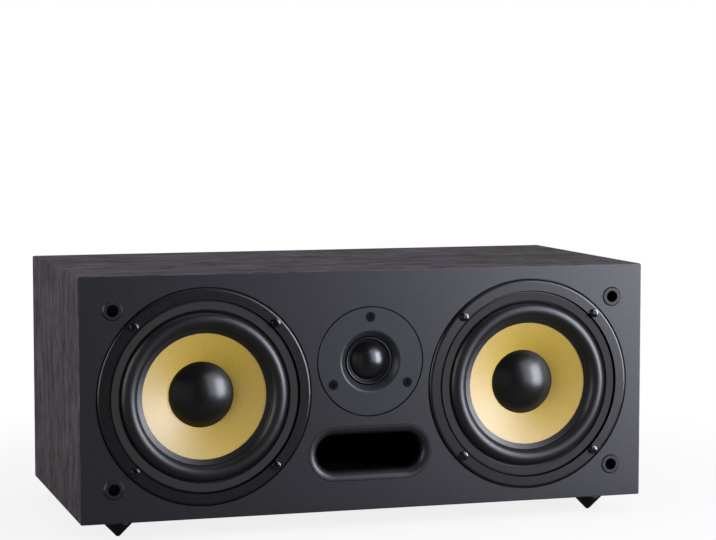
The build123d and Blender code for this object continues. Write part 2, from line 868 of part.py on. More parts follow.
def make_dome_surround():
    """Small cloth roll between the dome's rim and the flat that the faceplate clamps."""
    inner = dome_radius + bond_gap
    outer = throat_of_flare - bond_gap
    middle = (inner + outer) / 2
    back = clamp_depth + dome_surround_thickness
    crest = clamp_depth - dome_surround_height
    with BuildPart() as roll:
        with BuildSketch(turning_plane(0, front_y, tweeter_z)):
            with BuildLine():
                ThreePointArc((outer, clamp_depth), (middle, crest), (inner, clamp_depth))
                Polyline((inner, clamp_depth), (inner, back), (inner + dome_surround_thickness, back))
                ThreePointArc(
                    (inner + dome_surround_thickness, back),
                    (middle, crest + dome_surround_thickness),
                    (outer - dome_surround_thickness, back),
                )
                Polyline(
                    (outer - dome_surround_thickness, back),
                    (clamp_radius, back),
                    (clamp_radius, clamp_depth),
                    (outer, clamp_depth),
                )
            make_face()
        revolve(axis=turning_axis(0, front_y, tweeter_z))
    return roll.part


def make_terminal_cup():
    """Moulded recess in the rear panel, with a screwed flange and two holes for the posts."""
    tub_round = cup_corner_round + cup_wall
    with BuildPart() as cup:
        with BuildSketch(rear_view(rear_y, 0, middle_z)):
            RectangleRounded(
                cup_opening_width + 2 * cup_flange_width, cup_opening_height + 2 * cup_flange_width, tub_round
            )
        extrude(amount=cup_flange_thickness)
        with BuildSketch(rear_view(rear_y, 0, middle_z)):
            RectangleRounded(cup_opening_width + 2 * cup_wall, cup_opening_height + 2 * cup_wall, tub_round)
        extrude(amount=-cup_depth - cup_wall)
        with BuildSketch(rear_view(rear_y + cup_flange_thickness, 0, middle_z)):
            RectangleRounded(cup_opening_width, cup_opening_height, cup_corner_round)
        extrude(amount=-cup_flange_thickness - cup_depth, mode=Mode.SUBTRACT)
        for x in post_x.values():
            with Locations(rear_view(cup_floor_y, x, middle_z)):
                Hole(post_tail_diameter / 2 + thread_gap)
        for x, z in cup_screw_places:
            with Locations(rear_view(rear_y + cup_flange_thickness, x, z)):
                CounterSinkHole(
                    cup_screw_diameter / 2 + thread_gap,
                    cup_screw_head_diameter / 2 + thread_gap,
                    counter_sink_angle=90,
                )
    return cup.part


def make_post_stud(x):
    """Turned post: tail through the cup, flange on its floor, thread, wire hole and plug bore."""
    tail = post_tail_diameter / 2
    thread = post_thread_diameter / 2
    bore = plug_bore_diameter / 2
    tip = post_flange_height + post_thread_length
    with BuildPart() as stud:
        with BuildSketch(turning_plane(x, cup_floor_y, middle_z)):
            with BuildLine():
                Polyline(
                    (0, -cup_wall - post_tail_length),
                    (tail, -cup_wall - post_tail_length),
                    (tail, 0),
                    (post_flange_diameter / 2, 0),
                    (post_flange_diameter / 2, post_flange_height),
                    (thread, post_flange_height),
                    (thread, tip),
                    (bore, tip),
                    (bore, tip - plug_bore_depth),
                    (0, tip - plug_bore_depth),
                    close=True,
                )
            make_face()
        revolve(axis=turning_axis(x, cup_floor_y, middle_z))
        hole_y = cup_floor_y + post_flange_height + wire_hole_rise
        with Locations(Plane(origin=(x, hole_y, middle_z))):
            Hole(wire_hole_diameter / 2)
    return stud.part


def make_post_knob(x):
    """Fluted clamp knob, bored through for the thread and the plug."""
    knob_y = cup_floor_y + post_flange_height + collar_height
    with BuildPart() as knob:
        with BuildSketch(rear_view(knob_y, x, middle_z)):
            Circle(knob_diameter / 2)
        extrude(amount=knob_length)
        fillet(knob.faces().sort_by(Axis.Y)[-1].edges(), knob_end_round)
        with BuildSketch(rear_view(knob_y, x, middle_z)):
            Circle(post_thread_diameter / 2 + bond_gap)
            with PolarLocations(knob_diameter / 2, knob_flutes):
                Circle(knob_flute_diameter / 2)
        extrude(amount=knob_length, mode=Mode.SUBTRACT)
    return knob.part


def make_post_nuts():
    """Hexagon nuts on the posts' tails, tight against the inside of the cup."""
    with BuildPart() as nuts:
        for x in post_x.values():
            with BuildSketch(rear_view(cup_floor_y - cup_wall, x, middle_z)):
                RegularPolygon(nut_width / 2, 6, major_radius=False)
                Circle(post_tail_diameter / 2 + thread_gap, mode=Mode.SUBTRACT)
            extrude(amount=-nut_height)
    return nuts.part


def make_crossover_board():
    with BuildPart() as board:
        with BuildSketch(front_view(board_y)):
            with Locations((board_offset, middle_z)):
                Rectangle(board_width, board_height)
            with Locations(*board_screw_places):
                Circle(board_screw_diameter / 2 + thread_gap, mode=Mode.SUBTRACT)
        extrude(amount=-board_thickness)
    return board.part


def make_crossover_fixings():
    """Screws through the board, and the short sleeves that hold it off the rear panel."""
    head = board_screw_head_diameter / 2
    shank = board_screw_diameter / 2
    length = board_thickness + spacer_height + board_screw_grip
    with BuildPart() as fixings:
        add(make_screws(board_screw_places, board_y, head, board_screw_head_height, shank, length))
        with BuildSketch(front_view(board_y + board_thickness)):
            with Locations(*board_screw_places):
                Circle(spacer_diameter / 2)
                Circle(shank + thread_gap, mode=Mode.SUBTRACT)
        extrude(amount=-spacer_height)
    return fixings.part


def make_capacitors():
    """Two film capacitors lying on the board."""
    with BuildPart() as capacitors:
        for x, z, diameter, length in (
            (left_column_x, large_capacitor_z, large_capacitor_diameter, large_capacitor_length),
            (right_column_x, small_capacitor_z, small_capacitor_diameter, small_capacitor_length),
        ):
            with BuildSketch(Plane.YZ.offset(x - length / 2)):
                with Locations((board_y - bond_gap - diameter / 2, z)):
                    Circle(diameter / 2)
            extrude(amount=length)
        fillet(capacitors.edges().filter_by(GeomType.CIRCLE), capacitor_end_round)
    return capacitors.part


def make_resistor():
    """Cement resistor: a ceramic trough lying on the board."""
    with BuildPart() as resistor:
        with BuildSketch(front_view(board_y)):
            with Locations((right_column_x, resistor_z)):
                Rectangle(resistor_length, resistor_width)
        extrude(amount=resistor_height)
        chamfer(resistor.faces().sort_by(Axis.Y)[0].edges(), resistor_chamfer)
    return resistor.part


def make_internal_leads():
    """Round leads from the tabs and posts to the edge of the board, each on straight runs and arcs."""
    tab_face = woofer_y + basket_depth + strip_thickness + tab_thickness
    tweeter_face = front_y + tweeter_yoke_depth + tweeter_yoke_thickness + strip_thickness + tab_thickness
    post_face = cup_floor_y - cup_wall - post_tail_length
    starts = [
        (woofer_x["right"] - strip_outer_reach, tab_face, woofer_z, lead_reach),
        (woofer_x["left"] + strip_outer_reach, tab_face, woofer_z, lead_reach),
        (post_x["black"], post_face, middle_z, -2 * post_lead_reach),
        (post_x["red"], post_face, middle_z, -post_lead_reach),
        (tweeter_strip_x + strip_length, tweeter_face, tweeter_z, lead_reach),
    ]
    with BuildPart() as leads:
        for order, (x, y, z, reach) in enumerate(starts):
            end_z = middle_z + lead_pitch * (order - 2)
            turn_y = y + reach if reach < 0 else board_y - lead_reach
            with BuildLine() as route:
                FilletPolyline(
                    (x, y, z),
                    (x, y + reach, z),
                    (lead_end_x, turn_y, end_z),
                    (lead_end_x, board_y, end_z),
                    radius=lead_bend,
                )
            with BuildSketch(Plane(origin=(x, y, z), z_dir=route.line % 0)):
                Circle(lead_diameter / 2)
            sweep(path=route.line)
    return leads.part


def make_damping_pads():
    """Felt blocks glued to the two side walls behind the woofers."""
    pad_rear = rear_inner_y - pad_margin
    with BuildPart() as pads:
        for side in (-1, 1):
            with BuildSketch(Plane.XZ.offset(-pad_rear)):
                with Locations((side * (inner_width - pad_thickness) / 2, middle_z)):
                    Rectangle(pad_thickness, inner_height - 2 * pad_margin)
            extrude(amount=pad_depth)
    return pads.part


os.makedirs("parts", exist_ok=True)

# Box, port, sockets and feet
save(make_cabinet_wrap(), "cabinet_wrap")
save(make_front_baffle(), "front_baffle")
save(make_rear_panel(), "rear_panel")
save(make_port_tube(), "port_tube")
save(make_grille_sockets(), "grille_sockets")
save(make_foot_inserts(), "foot_inserts")
for corner, (x, y) in foot_places.items():
    save(make_foot(x, y), f"foot_{corner}")

# Woofers
coil_start = cone_depth(neck_radius) - former_stub
winding_start = top_plate_depth - winding_overhang
winding_end = magnet_depth + winding_overhang
for side, x in woofer_x.items():
    inwards = 1 if side == "left" else -1
    trim_y = woofer_y + lip_depth - trim_thickness
    cap_y = woofer_y + cone_depth(cap_radius) - bond_gap
    top_plate_y = woofer_y + top_plate_depth
    magnet_y = woofer_y + magnet_depth
    yoke_y = woofer_y + yoke_depth
    pole_height = yoke_depth - top_plate_depth
    screw_places = [
        (x + woofer_screw_radius * cos(angle), woofer_z + woofer_screw_radius * sin(angle))
        for angle in [2 * pi * (turn + 0.5) / woofer_screw_count for turn in range(woofer_screw_count)]
    ]
    head = woofer_screw_head_diameter / 2
    shank = woofer_screw_diameter / 2
    coil = make_voice_coil(
        x, woofer_y, woofer_z, coil_start, winding_end, former_radius, former_thickness,
        winding_thickness, winding_start, winding_end - former_tail,
    )
    save(make_basket(x), f"woofer_{side}_basket")
    save(
        make_washer(x, trim_y, woofer_z, trim_outer_radius, trim_inner_radius, trim_thickness),
        f"woofer_{side}_trim_ring",
    )
    save(make_surround(x), f"woofer_{side}_surround")
    save(make_cone(x), f"woofer_{side}_cone")
    save(
        make_dome_shell(x, cap_y, woofer_z, cap_radius, dust_cap_height, dust_cap_thickness),
        f"woofer_{side}_dust_cap",
    )
    save(coil, f"woofer_{side}_voice_coil")
    save(make_spider(x), f"woofer_{side}_spider")
    save(
        make_washer(x, top_plate_y, woofer_z, top_plate_radius, gap_radius, top_plate_thickness),
        f"woofer_{side}_top_plate",
    )
    save(
        make_washer(x, magnet_y, woofer_z, magnet_radius, magnet_inner_radius, magnet_thickness),
        f"woofer_{side}_magnet",
    )
    save(
        make_yoke(
            x, yoke_y, woofer_z, top_plate_radius, yoke_thickness, pole_radius, pole_height, vent_diameter / 2
        ),
        f"woofer_{side}_yoke",
    )
    save(
        make_terminals(x + inwards * strip_inner_reach, top_plate_y, woofer_z, inwards),
        f"woofer_{side}_terminals",
    )
    save(
        make_screws(screw_places, woofer_y, head, woofer_screw_head_height, shank, woofer_screw_length),
        f"woofer_{side}_screws",
    )

# Tweeter
dome_y = front_y + clamp_depth
tweeter_yoke_y = front_y + tweeter_yoke_depth
tweeter_screw_places = [
    (tweeter_screw_radius * cos(angle), tweeter_z + tweeter_screw_radius * sin(angle))
    for angle in [pi / 2 + 2 * pi * turn / tweeter_screw_count for turn in range(tweeter_screw_count)]
]
tweeter_winding_front = tweeter_plate_depth + tweeter_winding_start
tweeter_winding_back = tweeter_winding_front + tweeter_winding_length
tweeter_coil = make_voice_coil(
    0, front_y, tweeter_z, clamp_depth, tweeter_winding_back + tweeter_former_tail, tweeter_former_radius,
    tweeter_former_thickness, tweeter_winding_thickness, tweeter_winding_front, tweeter_winding_back,
)
save(make_faceplate(), "tweeter_faceplate")
save(make_dome_shell(0, dome_y, tweeter_z, dome_radius, dome_height, dome_thickness), "tweeter_dome")
save(make_dome_surround(), "tweeter_surround")
save(tweeter_coil, "tweeter_voice_coil")
save(
    make_washer(
        0, front_y + tweeter_plate_depth, tweeter_z,
        tweeter_plate_radius, tweeter_gap_radius, tweeter_plate_thickness,
    ),
    "tweeter_top_plate",
)
save(
    make_washer(
        0, front_y + tweeter_magnet_depth, tweeter_z,
        tweeter_magnet_radius, tweeter_magnet_inner, tweeter_magnet_thickness,
    ),
    "tweeter_magnet",
)
save(
    make_yoke(
        0, tweeter_yoke_y, tweeter_z, tweeter_plate_radius, tweeter_yoke_thickness,
        tweeter_pole_radius, tweeter_yoke_depth - tweeter_plate_depth, tweeter_vent_diameter / 2,
    ),
    "tweeter_yoke",
)
tweeter_rear_y = tweeter_yoke_y + tweeter_yoke_thickness
save(make_terminals(tweeter_strip_x, tweeter_rear_y, tweeter_z, 1), "tweeter_terminals")
save(
    make_flat_screws(
        tweeter_screw_places, front_y, 1,
        tweeter_screw_head_diameter / 2, tweeter_screw_diameter / 2, tweeter_screw_length,
    ),
    "tweeter_screws",
)

# Rear terminals
save(make_terminal_cup(), "terminal_cup")
save(
    make_flat_screws(
        cup_screw_places, rear_y + cup_flange_thickness, -1,
        cup_screw_head_diameter / 2, cup_screw_diameter / 2, cup_screw_length,
    ),
    "terminal_cup_screws",
)
save(make_post_nuts(), "post_nuts")
for colour, x in post_x.items():
    collar_y = cup_floor_y + post_flange_height
    collar_bore = post_thread_diameter / 2 + bond_gap
    save(make_post_stud(x), f"post_{colour}_stud")
    save(
        make_washer(x, collar_y, middle_z, collar_diameter / 2, collar_bore, collar_height),
        f"post_{colour}_collar",
    )
    save(make_post_knob(x), f"post_{colour}_knob")

# Crossover, leads and damping
save(make_crossover_board(), "crossover_board")
save(make_crossover_fixings(), "crossover_fixings")
save(
    make_washer(
        left_column_x, board_y - woofer_inductor_height, woofer_inductor_z,
        woofer_inductor_diameter / 2, woofer_inductor_bore / 2, woofer_inductor_height,
    ),
    "woofer_inductor",
)
save(
    make_washer(
        right_column_x, board_y - tweeter_inductor_height, tweeter_inductor_z,
        tweeter_inductor_diameter / 2, tweeter_inductor_bore / 2, tweeter_inductor_height,
    ),
    "tweeter_inductor",
)
save(make_capacitors(), "crossover_capacitors")
save(make_resistor(), "crossover_resistor")
save(make_internal_leads(), "internal_leads")
save(make_damping_pads(), "damping_pads")
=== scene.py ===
from math import cos, pi, radians, sin

import bmesh
import bpy
import numpy as np
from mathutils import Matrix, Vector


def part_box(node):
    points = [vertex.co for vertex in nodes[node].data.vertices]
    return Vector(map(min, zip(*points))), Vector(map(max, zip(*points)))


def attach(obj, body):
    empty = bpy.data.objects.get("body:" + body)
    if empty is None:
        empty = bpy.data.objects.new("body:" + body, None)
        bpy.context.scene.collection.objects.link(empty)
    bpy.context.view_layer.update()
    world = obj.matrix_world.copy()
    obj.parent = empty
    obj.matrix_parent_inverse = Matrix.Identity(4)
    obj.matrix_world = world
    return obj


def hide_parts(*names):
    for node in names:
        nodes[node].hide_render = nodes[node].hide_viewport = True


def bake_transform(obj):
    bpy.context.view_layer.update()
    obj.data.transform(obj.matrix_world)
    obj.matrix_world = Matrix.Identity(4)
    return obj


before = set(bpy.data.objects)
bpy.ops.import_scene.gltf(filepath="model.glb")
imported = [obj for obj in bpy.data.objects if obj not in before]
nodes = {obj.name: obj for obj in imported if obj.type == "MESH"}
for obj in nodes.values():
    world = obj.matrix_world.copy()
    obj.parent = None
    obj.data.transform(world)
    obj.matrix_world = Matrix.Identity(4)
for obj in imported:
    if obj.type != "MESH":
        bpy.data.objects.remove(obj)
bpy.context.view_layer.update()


# Cabinet wrap: the top, bottom and two side boards, mitred and glued into one sleeve.
# Fibreboard under a printed black ash vinyl. The grain runs round the sleeve, so it lies
# along the top and stands upright on the sides; the cut rear end is stained black.
def fill(tree, node, **inputs):
    """Gives the sockets of a node, named with _ for each space, their values or links."""
    for name, value in inputs.items():
        socket = node.inputs[name.replace("_", " ")]
        if isinstance(value, bpy.types.NodeSocket):
            tree.links.new(value, socket)
        else:
            socket.default_value = value


def add_node(tree, kind, settings=None, **inputs):
    """One shader node. settings are its own properties; inputs are values or links for its sockets."""
    node = tree.nodes.new("ShaderNode" + kind)
    for name, value in (settings or {}).items():
        setattr(node, name, value)
    fill(tree, node, **inputs)
    return node


def calculate(tree, operation, *terms):
    """The result of one math node on numbers or sockets."""
    node = tree.nodes.new("ShaderNodeMath")
    node.operation = operation
    for socket, term in zip(node.inputs, terms):
        if isinstance(term, bpy.types.NodeSocket):
            tree.links.new(term, socket)
        else:
            socket.default_value = term
    return node.outputs[0]


def colour_between(tree, share, first, second):
    """A colour that goes from first to second as share goes from 0 to 1."""
    node = tree.nodes.new("ShaderNodeMix")
    node.data_type = "RGBA"
    for index, term in ((0, share), (6, first), (7, second)):
        if isinstance(term, bpy.types.NodeSocket):
            tree.links.new(term, node.inputs[index])
        else:
            node.inputs[index].default_value = term if index == 0 else (*term, 1.0)
    return node.outputs[2]


def value_between(tree, share, low, high):
    """A number that goes from low to high as share goes from 0 to 1."""
    node = add_node(tree, "MapRange", Value=share, To_Min=low, To_Max=high)
    return node.outputs["Result"]


def share_between(tree, value, low, high):
    """A share that goes from 0 to 1 as value goes from low to high."""
    node = add_node(tree, "MapRange", Value=value, From_Min=low, From_Max=high)
    return node.outputs["Result"]


def object_place(tree):
    """The place of a point in the speaker's own frame, in metres."""
    return tree.nodes.new("ShaderNodeTexCoord").outputs["Object"]


def noise(tree, place, **inputs):
    """Noise from 0 to 1 at a place; inputs are the other sockets of its node."""
    return add_node(tree, "TexNoise", Vector=place, **inputs).outputs[0]


def raised(tree, height, strength, distance):
    """The surface's normal, bent by a height of 0 to 1 over a distance in metres."""
    return add_node(tree, "Bump", Strength=strength, Distance=distance, Height=height).outputs[0]


def new_finish(name, **inputs):
    """A new material with its node tree and its Principled shader, whose plain sockets take inputs."""
    material = bpy.data.materials.new(name)
    material.use_nodes = True
    tree = material.node_tree
    shader = tree.nodes["Principled BSDF"]
    fill(tree, shader, **inputs)
    return material, tree, shader


def new_group(name, inputs, outputs):
    """A shader node group, with its input sockets and its output node. inputs and outputs map each
    socket's name to its type."""
    tree = bpy.data.node_groups.new(name, "ShaderNodeTree")
    for socket, kind in inputs.items():
        tree.interface.new_socket(socket, in_out="INPUT", socket_type="NodeSocket" + kind)
    for socket, kind in outputs.items():
        tree.interface.new_socket(socket, in_out="OUTPUT", socket_type="NodeSocket" + kind)
    start = tree.nodes.new("NodeGroupInput")
    end = tree.nodes.new("NodeGroupOutput")
    return tree, start.outputs, end


def dress(material, *names):
    """Puts a material on CAD nodes."""
    for name in names:
        nodes[name].material_slots[0].material = material


ash_grain, grain_in, grain_end = new_group(
    "ash_grain", {"Vector": "Vector"}, {"Tone": "Float", "Height": "Float", "Cast": "Float"}
)


def grain_noise(stretch, **inputs):
    """Noise of the ash grain, drawn out along the wood by a scale for each axis."""
    drawn = add_node(ash_grain, "Mapping", Vector=grain_in["Vector"], Scale=stretch)
    return noise(ash_grain, drawn.outputs[0], Scale=1.0, **inputs)


band = grain_noise((24.0, 90.0, 24.0), Detail=4.0, Distortion=0.5)
line = grain_noise((85.0, 520.0, 85.0), Detail=3.0, Distortion=0.2)
tick = grain_noise((110.0, 1500.0, 110.0), Detail=1.0)
patch = grain_noise((7.0, 26.0, 7.0), Detail=2.0)
soft = calculate(ash_grain, "MULTIPLY", share_between(ash_grain, band, 0.3, 0.7), 0.5)
sharp = calculate(ash_grain, "MULTIPLY", share_between(ash_grain, line, 0.32, 0.68), 0.5)
pore = calculate(ash_grain, "MULTIPLY", share_between(ash_grain, tick, 0.56, 0.68), 0.45)
even = calculate(ash_grain, "ADD", soft, sharp)
fill(
    ash_grain, grain_end,
    Tone=calculate(ash_grain, "SUBTRACT", even, pore),
    Height=calculate(ash_grain, "SUBTRACT", sharp, pore),
    Cast=share_between(ash_grain, patch, 0.38, 0.62),
)

vinyl_dark = (0.020, 0.0158, 0.0200)
vinyl_grey = (0.134, 0.122, 0.124)
vinyl_plum = (0.148, 0.115, 0.150)


def vinyl_print(tree, place):
    """Colour, tone and height of the printed grain at a place, whose Y goes across the grain."""
    grain = add_node(tree, "Group", {"node_tree": ash_grain}, Vector=place)
    light = colour_between(tree, grain.outputs["Cast"], vinyl_grey, vinyl_plum)
    tint = colour_between(tree, grain.outputs["Tone"], vinyl_dark, light)
    return tint, grain.outputs["Tone"], grain.outputs["Height"]


def ash_vinyl(name, turn):
    """Black ash vinyl: its material, node tree, shader and colour. turn lays the grain's across
    direction, +Y, along another axis."""
    material, tree, shader = new_finish(name, Specular_IOR_Level=0.08)
    laid = add_node(tree, "Mapping", Vector=object_place(tree), Rotation=turn)
    tint, tone, height = vinyl_print(tree, laid.outputs[0])
    fill(
        tree, shader,
        Base_Color=tint,
        Roughness=value_between(tree, tone, 0.80, 0.65),
        Normal=raised(tree, height, 0.35, 0.0002),
    )
    return material, tree, shader, tint


wrap_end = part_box("cabinet_wrap")[1][1]
end_reach = 0.0003
stain_dark = (0.020, 0.017, 0.020)
stain_light = (0.060, 0.052, 0.058)
wrap_vinyl, wrap_tree, wrap_shader, wrap_tint = ash_vinyl("wrap_vinyl", (0.0, 0.0, 0.0))
wrap_axes = add_node(wrap_tree, "SeparateXYZ", Vector=object_place(wrap_tree))
cut_end = calculate(wrap_tree, "GREATER_THAN", wrap_axes.outputs["Y"], wrap_end - end_reach)
fibres = noise(wrap_tree, object_place(wrap_tree), Scale=900.0, Detail=4.0)
stain = colour_between(wrap_tree, fibres, stain_dark, stain_light)
fill(wrap_tree, wrap_shader, Base_Color=colour_between(wrap_tree, cut_end, wrap_tint, stain))
dress(wrap_vinyl, "cabinet_wrap")


# Rear panel: the board that closes the back of the sleeve, let in flush and glued.
# It has the same vinyl, with the grain laid from side to side.
rear_vinyl, _, _, _ = ash_vinyl("rear_vinyl", (pi / 2, 0.0, 0.0))
dress(rear_vinyl, "rear_panel")


# Front baffle: the thick board that carries the drivers, glued to the front of the sleeve.
# Fibreboard with a satin blue-black lacquer on its face and the vinyl folded over its edges.
fine_texture, texture_in, texture_end = new_group(
    "fine_texture", {"Scale": "Float", "Depth": "Float"}, {"Grain": "Float", "Normal": "Vector"}
)
speck = noise(fine_texture, object_place(fine_texture), Scale=texture_in["Scale"], Detail=3.0)
speck_normal = raised(fine_texture, speck, texture_in["Depth"], 0.0002)
fill(fine_texture, texture_end, Grain=speck, Normal=speck_normal)


def specks_on(tree, scale, depth):
    """Grain, from 0 to 1, and normal of fine specks on a finish."""
    specks = add_node(tree, "Group", {"node_tree": fine_texture}, Scale=scale, Depth=depth)
    return share_between(tree, specks.outputs["Grain"], 0.3, 0.7), specks.outputs["Normal"]


def textured(name, dark, light, smooth, rough, scale, depth, **inputs):
    """A finish with fine specks. The grain goes from dark to light and from smooth to rough."""
    material, tree, shader = new_finish(name, **inputs)
    grain, normal = specks_on(tree, scale, depth)
    fill(
        tree, shader,
        Base_Color=colour_between(tree, grain, dark, light),
        Roughness=value_between(tree, grain, smooth, rough),
        Normal=normal,
    )
    return material


baffle_low, baffle_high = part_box("front_baffle")
baffle_middle = (baffle_low[2] + baffle_high[2]) / 2
baffle_half = (baffle_high[2] - baffle_low[2]) / 2
vinyl_fold = 0.0003
paint_dark = (0.0022, 0.0016, 0.0040)
paint_light = (0.0064, 0.0053, 0.0098)
baffle_paint, baffle_tree, baffle_shader = new_finish(
    "baffle_paint", Specular_IOR_Level=0.08, Coat_Roughness=0.355, Coat_IOR=1.64
)
baffle_place = object_place(baffle_tree)
baffle_axes = add_node(baffle_tree, "SeparateXYZ", Vector=baffle_place)
beside = calculate(baffle_tree, "ABSOLUTE", baffle_axes.outputs["X"])
beside = calculate(baffle_tree, "GREATER_THAN", beside, baffle_high[0] - vinyl_fold)
above = calculate(baffle_tree, "SUBTRACT", baffle_axes.outputs["Z"], baffle_middle)
above = calculate(baffle_tree, "ABSOLUTE", above)
above = calculate(baffle_tree, "GREATER_THAN", above, baffle_half - vinyl_fold)
folded = calculate(baffle_tree, "MAXIMUM", beside, above)
painted = calculate(baffle_tree, "SUBTRACT", 1.0, folded)
paint_grain, paint_normal = specks_on(baffle_tree, 1100.0, 0.3)
paint_tint = colour_between(baffle_tree, paint_grain, paint_dark, paint_light)
fold_tint, _, _ = vinyl_print(baffle_tree, baffle_place)
lacquer = value_between(baffle_tree, paint_grain, 0.72, 1.0)
fill(
    baffle_tree, baffle_shader,
    Base_Color=colour_between(baffle_tree, folded, paint_tint, fold_tint),
    Roughness=value_between(baffle_tree, folded, 0.6, 0.72),
    Coat_Weight=calculate(baffle_tree, "MULTIPLY", lacquer, painted),
    Normal=paint_normal,
)
dress(baffle_paint, "front_baffle")


# Grille sockets: four cups pressed into the corners of the baffle for the pegs of a cloth grille.
# Black moulded plastic with a bevelled flange.
socket_plastic = textured(
    "socket_plastic", dark=(0.0030, 0.0030, 0.0038), light=(0.0065, 0.0065, 0.0080),
    smooth=0.36, rough=0.44, scale=1600.0, depth=0.15
)
dress(socket_plastic, "grille_sockets")


# Feet: four turned steel cones screwed into sleeves in the bottom board.
# Black oxide over fine turning marks; the sleeves are plain brass.
foot_dark = (0.002, 0.002, 0.002)
foot_light = (0.005, 0.005, 0.005)
foot_black, foot_tree, foot_shader = new_finish("foot_black", Specular_IOR_Level=0.3)
foot_height = add_node(foot_tree, "Mapping", Vector=object_place(foot_tree), Scale=(0.0, 0.0, 1.0))
turning = add_node(
    foot_tree, "TexWave", {"bands_direction": "Z"}, Vector=foot_height.outputs[0], Scale=900.0, Distortion=0.6
)
marks = turning.outputs["Fac"]
fill(
    foot_tree, foot_shader,
    Base_Color=colour_between(foot_tree, marks, foot_dark, foot_light),
    Roughness=value_between(foot_tree, marks, 0.30, 0.38),
    Normal=raised(foot_tree, marks, 0.2, 0.0001),
)
dress(foot_black, "foot_front_left", "foot_front_right", "foot_rear_left", "foot_rear_right")

brass = textured(
    "brass", dark=(0.55, 0.36, 0.11), light=(0.70, 0.49, 0.18),
    smooth=0.28, rough=0.40, scale=700.0, depth=0.06, Metallic=1.0
)
dress(brass, "foot_inserts", "post_nuts")


# Port tube: the slot port under the tweeter, a flush flange with a rounded mouth and a straight tube.
# Moulded in black plastic, satin on the flange and matt in the tube, and glued into the baffle.
port_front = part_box("port_tube")[0][1]
flare_depth = 0.0075
flare_fade = 0.3 * flare_depth
flange_dark = (0.0040, 0.0039, 0.0050)
flange_light = (0.0095, 0.0093, 0.0115)
# Painted shade: deeper than the mouth the colour falls to near black, for the shade inside the tube.
tube_painted_shade = (0.0006, 0.0006, 0.0006)
port_plastic, port_tree, port_shader = new_finish(
    "port_plastic", Specular_IOR_Level=0.04, Coat_Roughness=0.38
)
port_axes = add_node(port_tree, "SeparateXYZ", Vector=object_place(port_tree))
mouth_end = port_front + flare_depth
# inside fades the colour from the flange's tint into the painted shade of the tube, and the finish from satin
# to matt.
inside = share_between(port_tree, port_axes.outputs["Y"], mouth_end - flare_fade, mouth_end + flare_fade)
port_speck = add_node(port_tree, "Group", {"node_tree": fine_texture}, Scale=1500.0, Depth=0.12)
flange_tint = colour_between(port_tree, port_speck.outputs["Grain"], flange_dark, flange_light)
fill(
    port_tree, port_shader,
    Base_Color=colour_between(port_tree, inside, flange_tint, tube_painted_shade),
    Roughness=value_between(port_tree, inside, 0.6, 0.9),
    Coat_Weight=value_between(port_tree, inside, 1.0, 0.0),
    Normal=port_speck.outputs["Normal"],
)
dress(port_plastic, "port_tube")


# Woofer baskets and trim rings: the cast frames screwed to the baffle, and the flat rings
# that cover the outer edge of each surround. The frames have satin black paint, the rings
# are moulded in matt grey plastic.
basket_paint = textured(
    "basket_paint", dark=(0.0010, 0.0010, 0.0014), light=(0.0036, 0.0036, 0.0046),
    smooth=0.27, rough=0.32, scale=1300.0, depth=0.16, Specular_IOR_Level=0.6
)
dress(basket_paint, "woofer_left_basket", "woofer_right_basket")
trim_plastic = textured(
    "trim_plastic", dark=(0.0162, 0.0152, 0.0152), light=(0.0325, 0.0305, 0.0302),
    smooth=0.62, rough=0.72, scale=1500.0, depth=0.16, Specular_IOR_Level=0.2
)
dress(trim_plastic, "woofer_left_trim_ring", "woofer_right_trim_ring")


# Woofer surrounds: half rolls of moulded rubber between the frames and the cones.
# The flat outside is glued on the frame's landing, and the lip inside on the cone's edge.
def grid_quads(index):
    """The four corners of each cell in a grid of point numbers."""
    quads = np.stack((index[:-1, :-1], index[:-1, 1:], index[1:, 1:], index[1:, :-1]), axis=-1)
    return quads.reshape(-1, 4)


def new_piece(name, points, quads):
    """A smooth piece of the speaker, from points and faces."""
    mesh = bpy.data.meshes.new(name)
    mesh.from_pydata(points.tolist(), [], quads.tolist())
    mesh.polygons.foreach_set("use_smooth", np.ones(len(quads), dtype=bool))
    piece = bpy.data.objects.new(name, mesh)
    bpy.context.scene.collection.objects.link(piece)
    return piece


def closed_grid(name, points):
    """A tube of quads: rows of points go round a closed profile and columns go round the axis."""
    rows, columns = points.shape[:2]
    index = np.arange(rows * columns).reshape(rows, columns)
    quads = grid_quads(np.pad(index, ((0, 1), (0, 1)), mode="wrap"))
    return new_piece(name, points.reshape(-1, 3), quads)


def front_middle(node):
    """The middle of the front of a CAD node's box."""
    low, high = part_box(node)
    return (low[0] + high[0]) / 2, low[1], (low[2] + high[2]) / 2


def turn_profile(radius, depth, centre, steps):
    """Points of a profile turned about an axis along +Y: x and z are centre plus radius times
    the cosine and sine of the angle, and y is centre plus depth."""
    angle = np.linspace(0.0, 2.0 * pi, steps, endpoint=False)
    x = centre[0] + radius[:, None] * np.cos(angle)
    y = centre[1] + depth[:, None] * np.ones(steps)
    z = centre[2] + radius[:, None] * np.sin(angle)
    return np.stack((x, y, z), axis=-1)


def offset_skin(radius, depth, thickness):
    """Closes an open profile into a skin: the same line again, moved along its normal, in reverse."""
    along_radius = np.gradient(radius)
    along_depth = np.gradient(depth)
    length = np.hypot(along_radius, along_depth)
    back_radius = radius + thickness * along_depth / length
    back_depth = depth - thickness * along_radius / length
    return np.append(radius, back_radius[::-1]), np.append(depth, back_depth[::-1])


def give_with(piece):
    """Bakes a ring's placement into its points and reads them into an array of places; the ring is not made to
    stretch."""
    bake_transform(piece)
    place = np.empty(3 * len(piece.data.vertices), dtype=np.float32)
    piece.data.vertices.foreach_get("co", place)
    place = place.reshape(-1, 3)


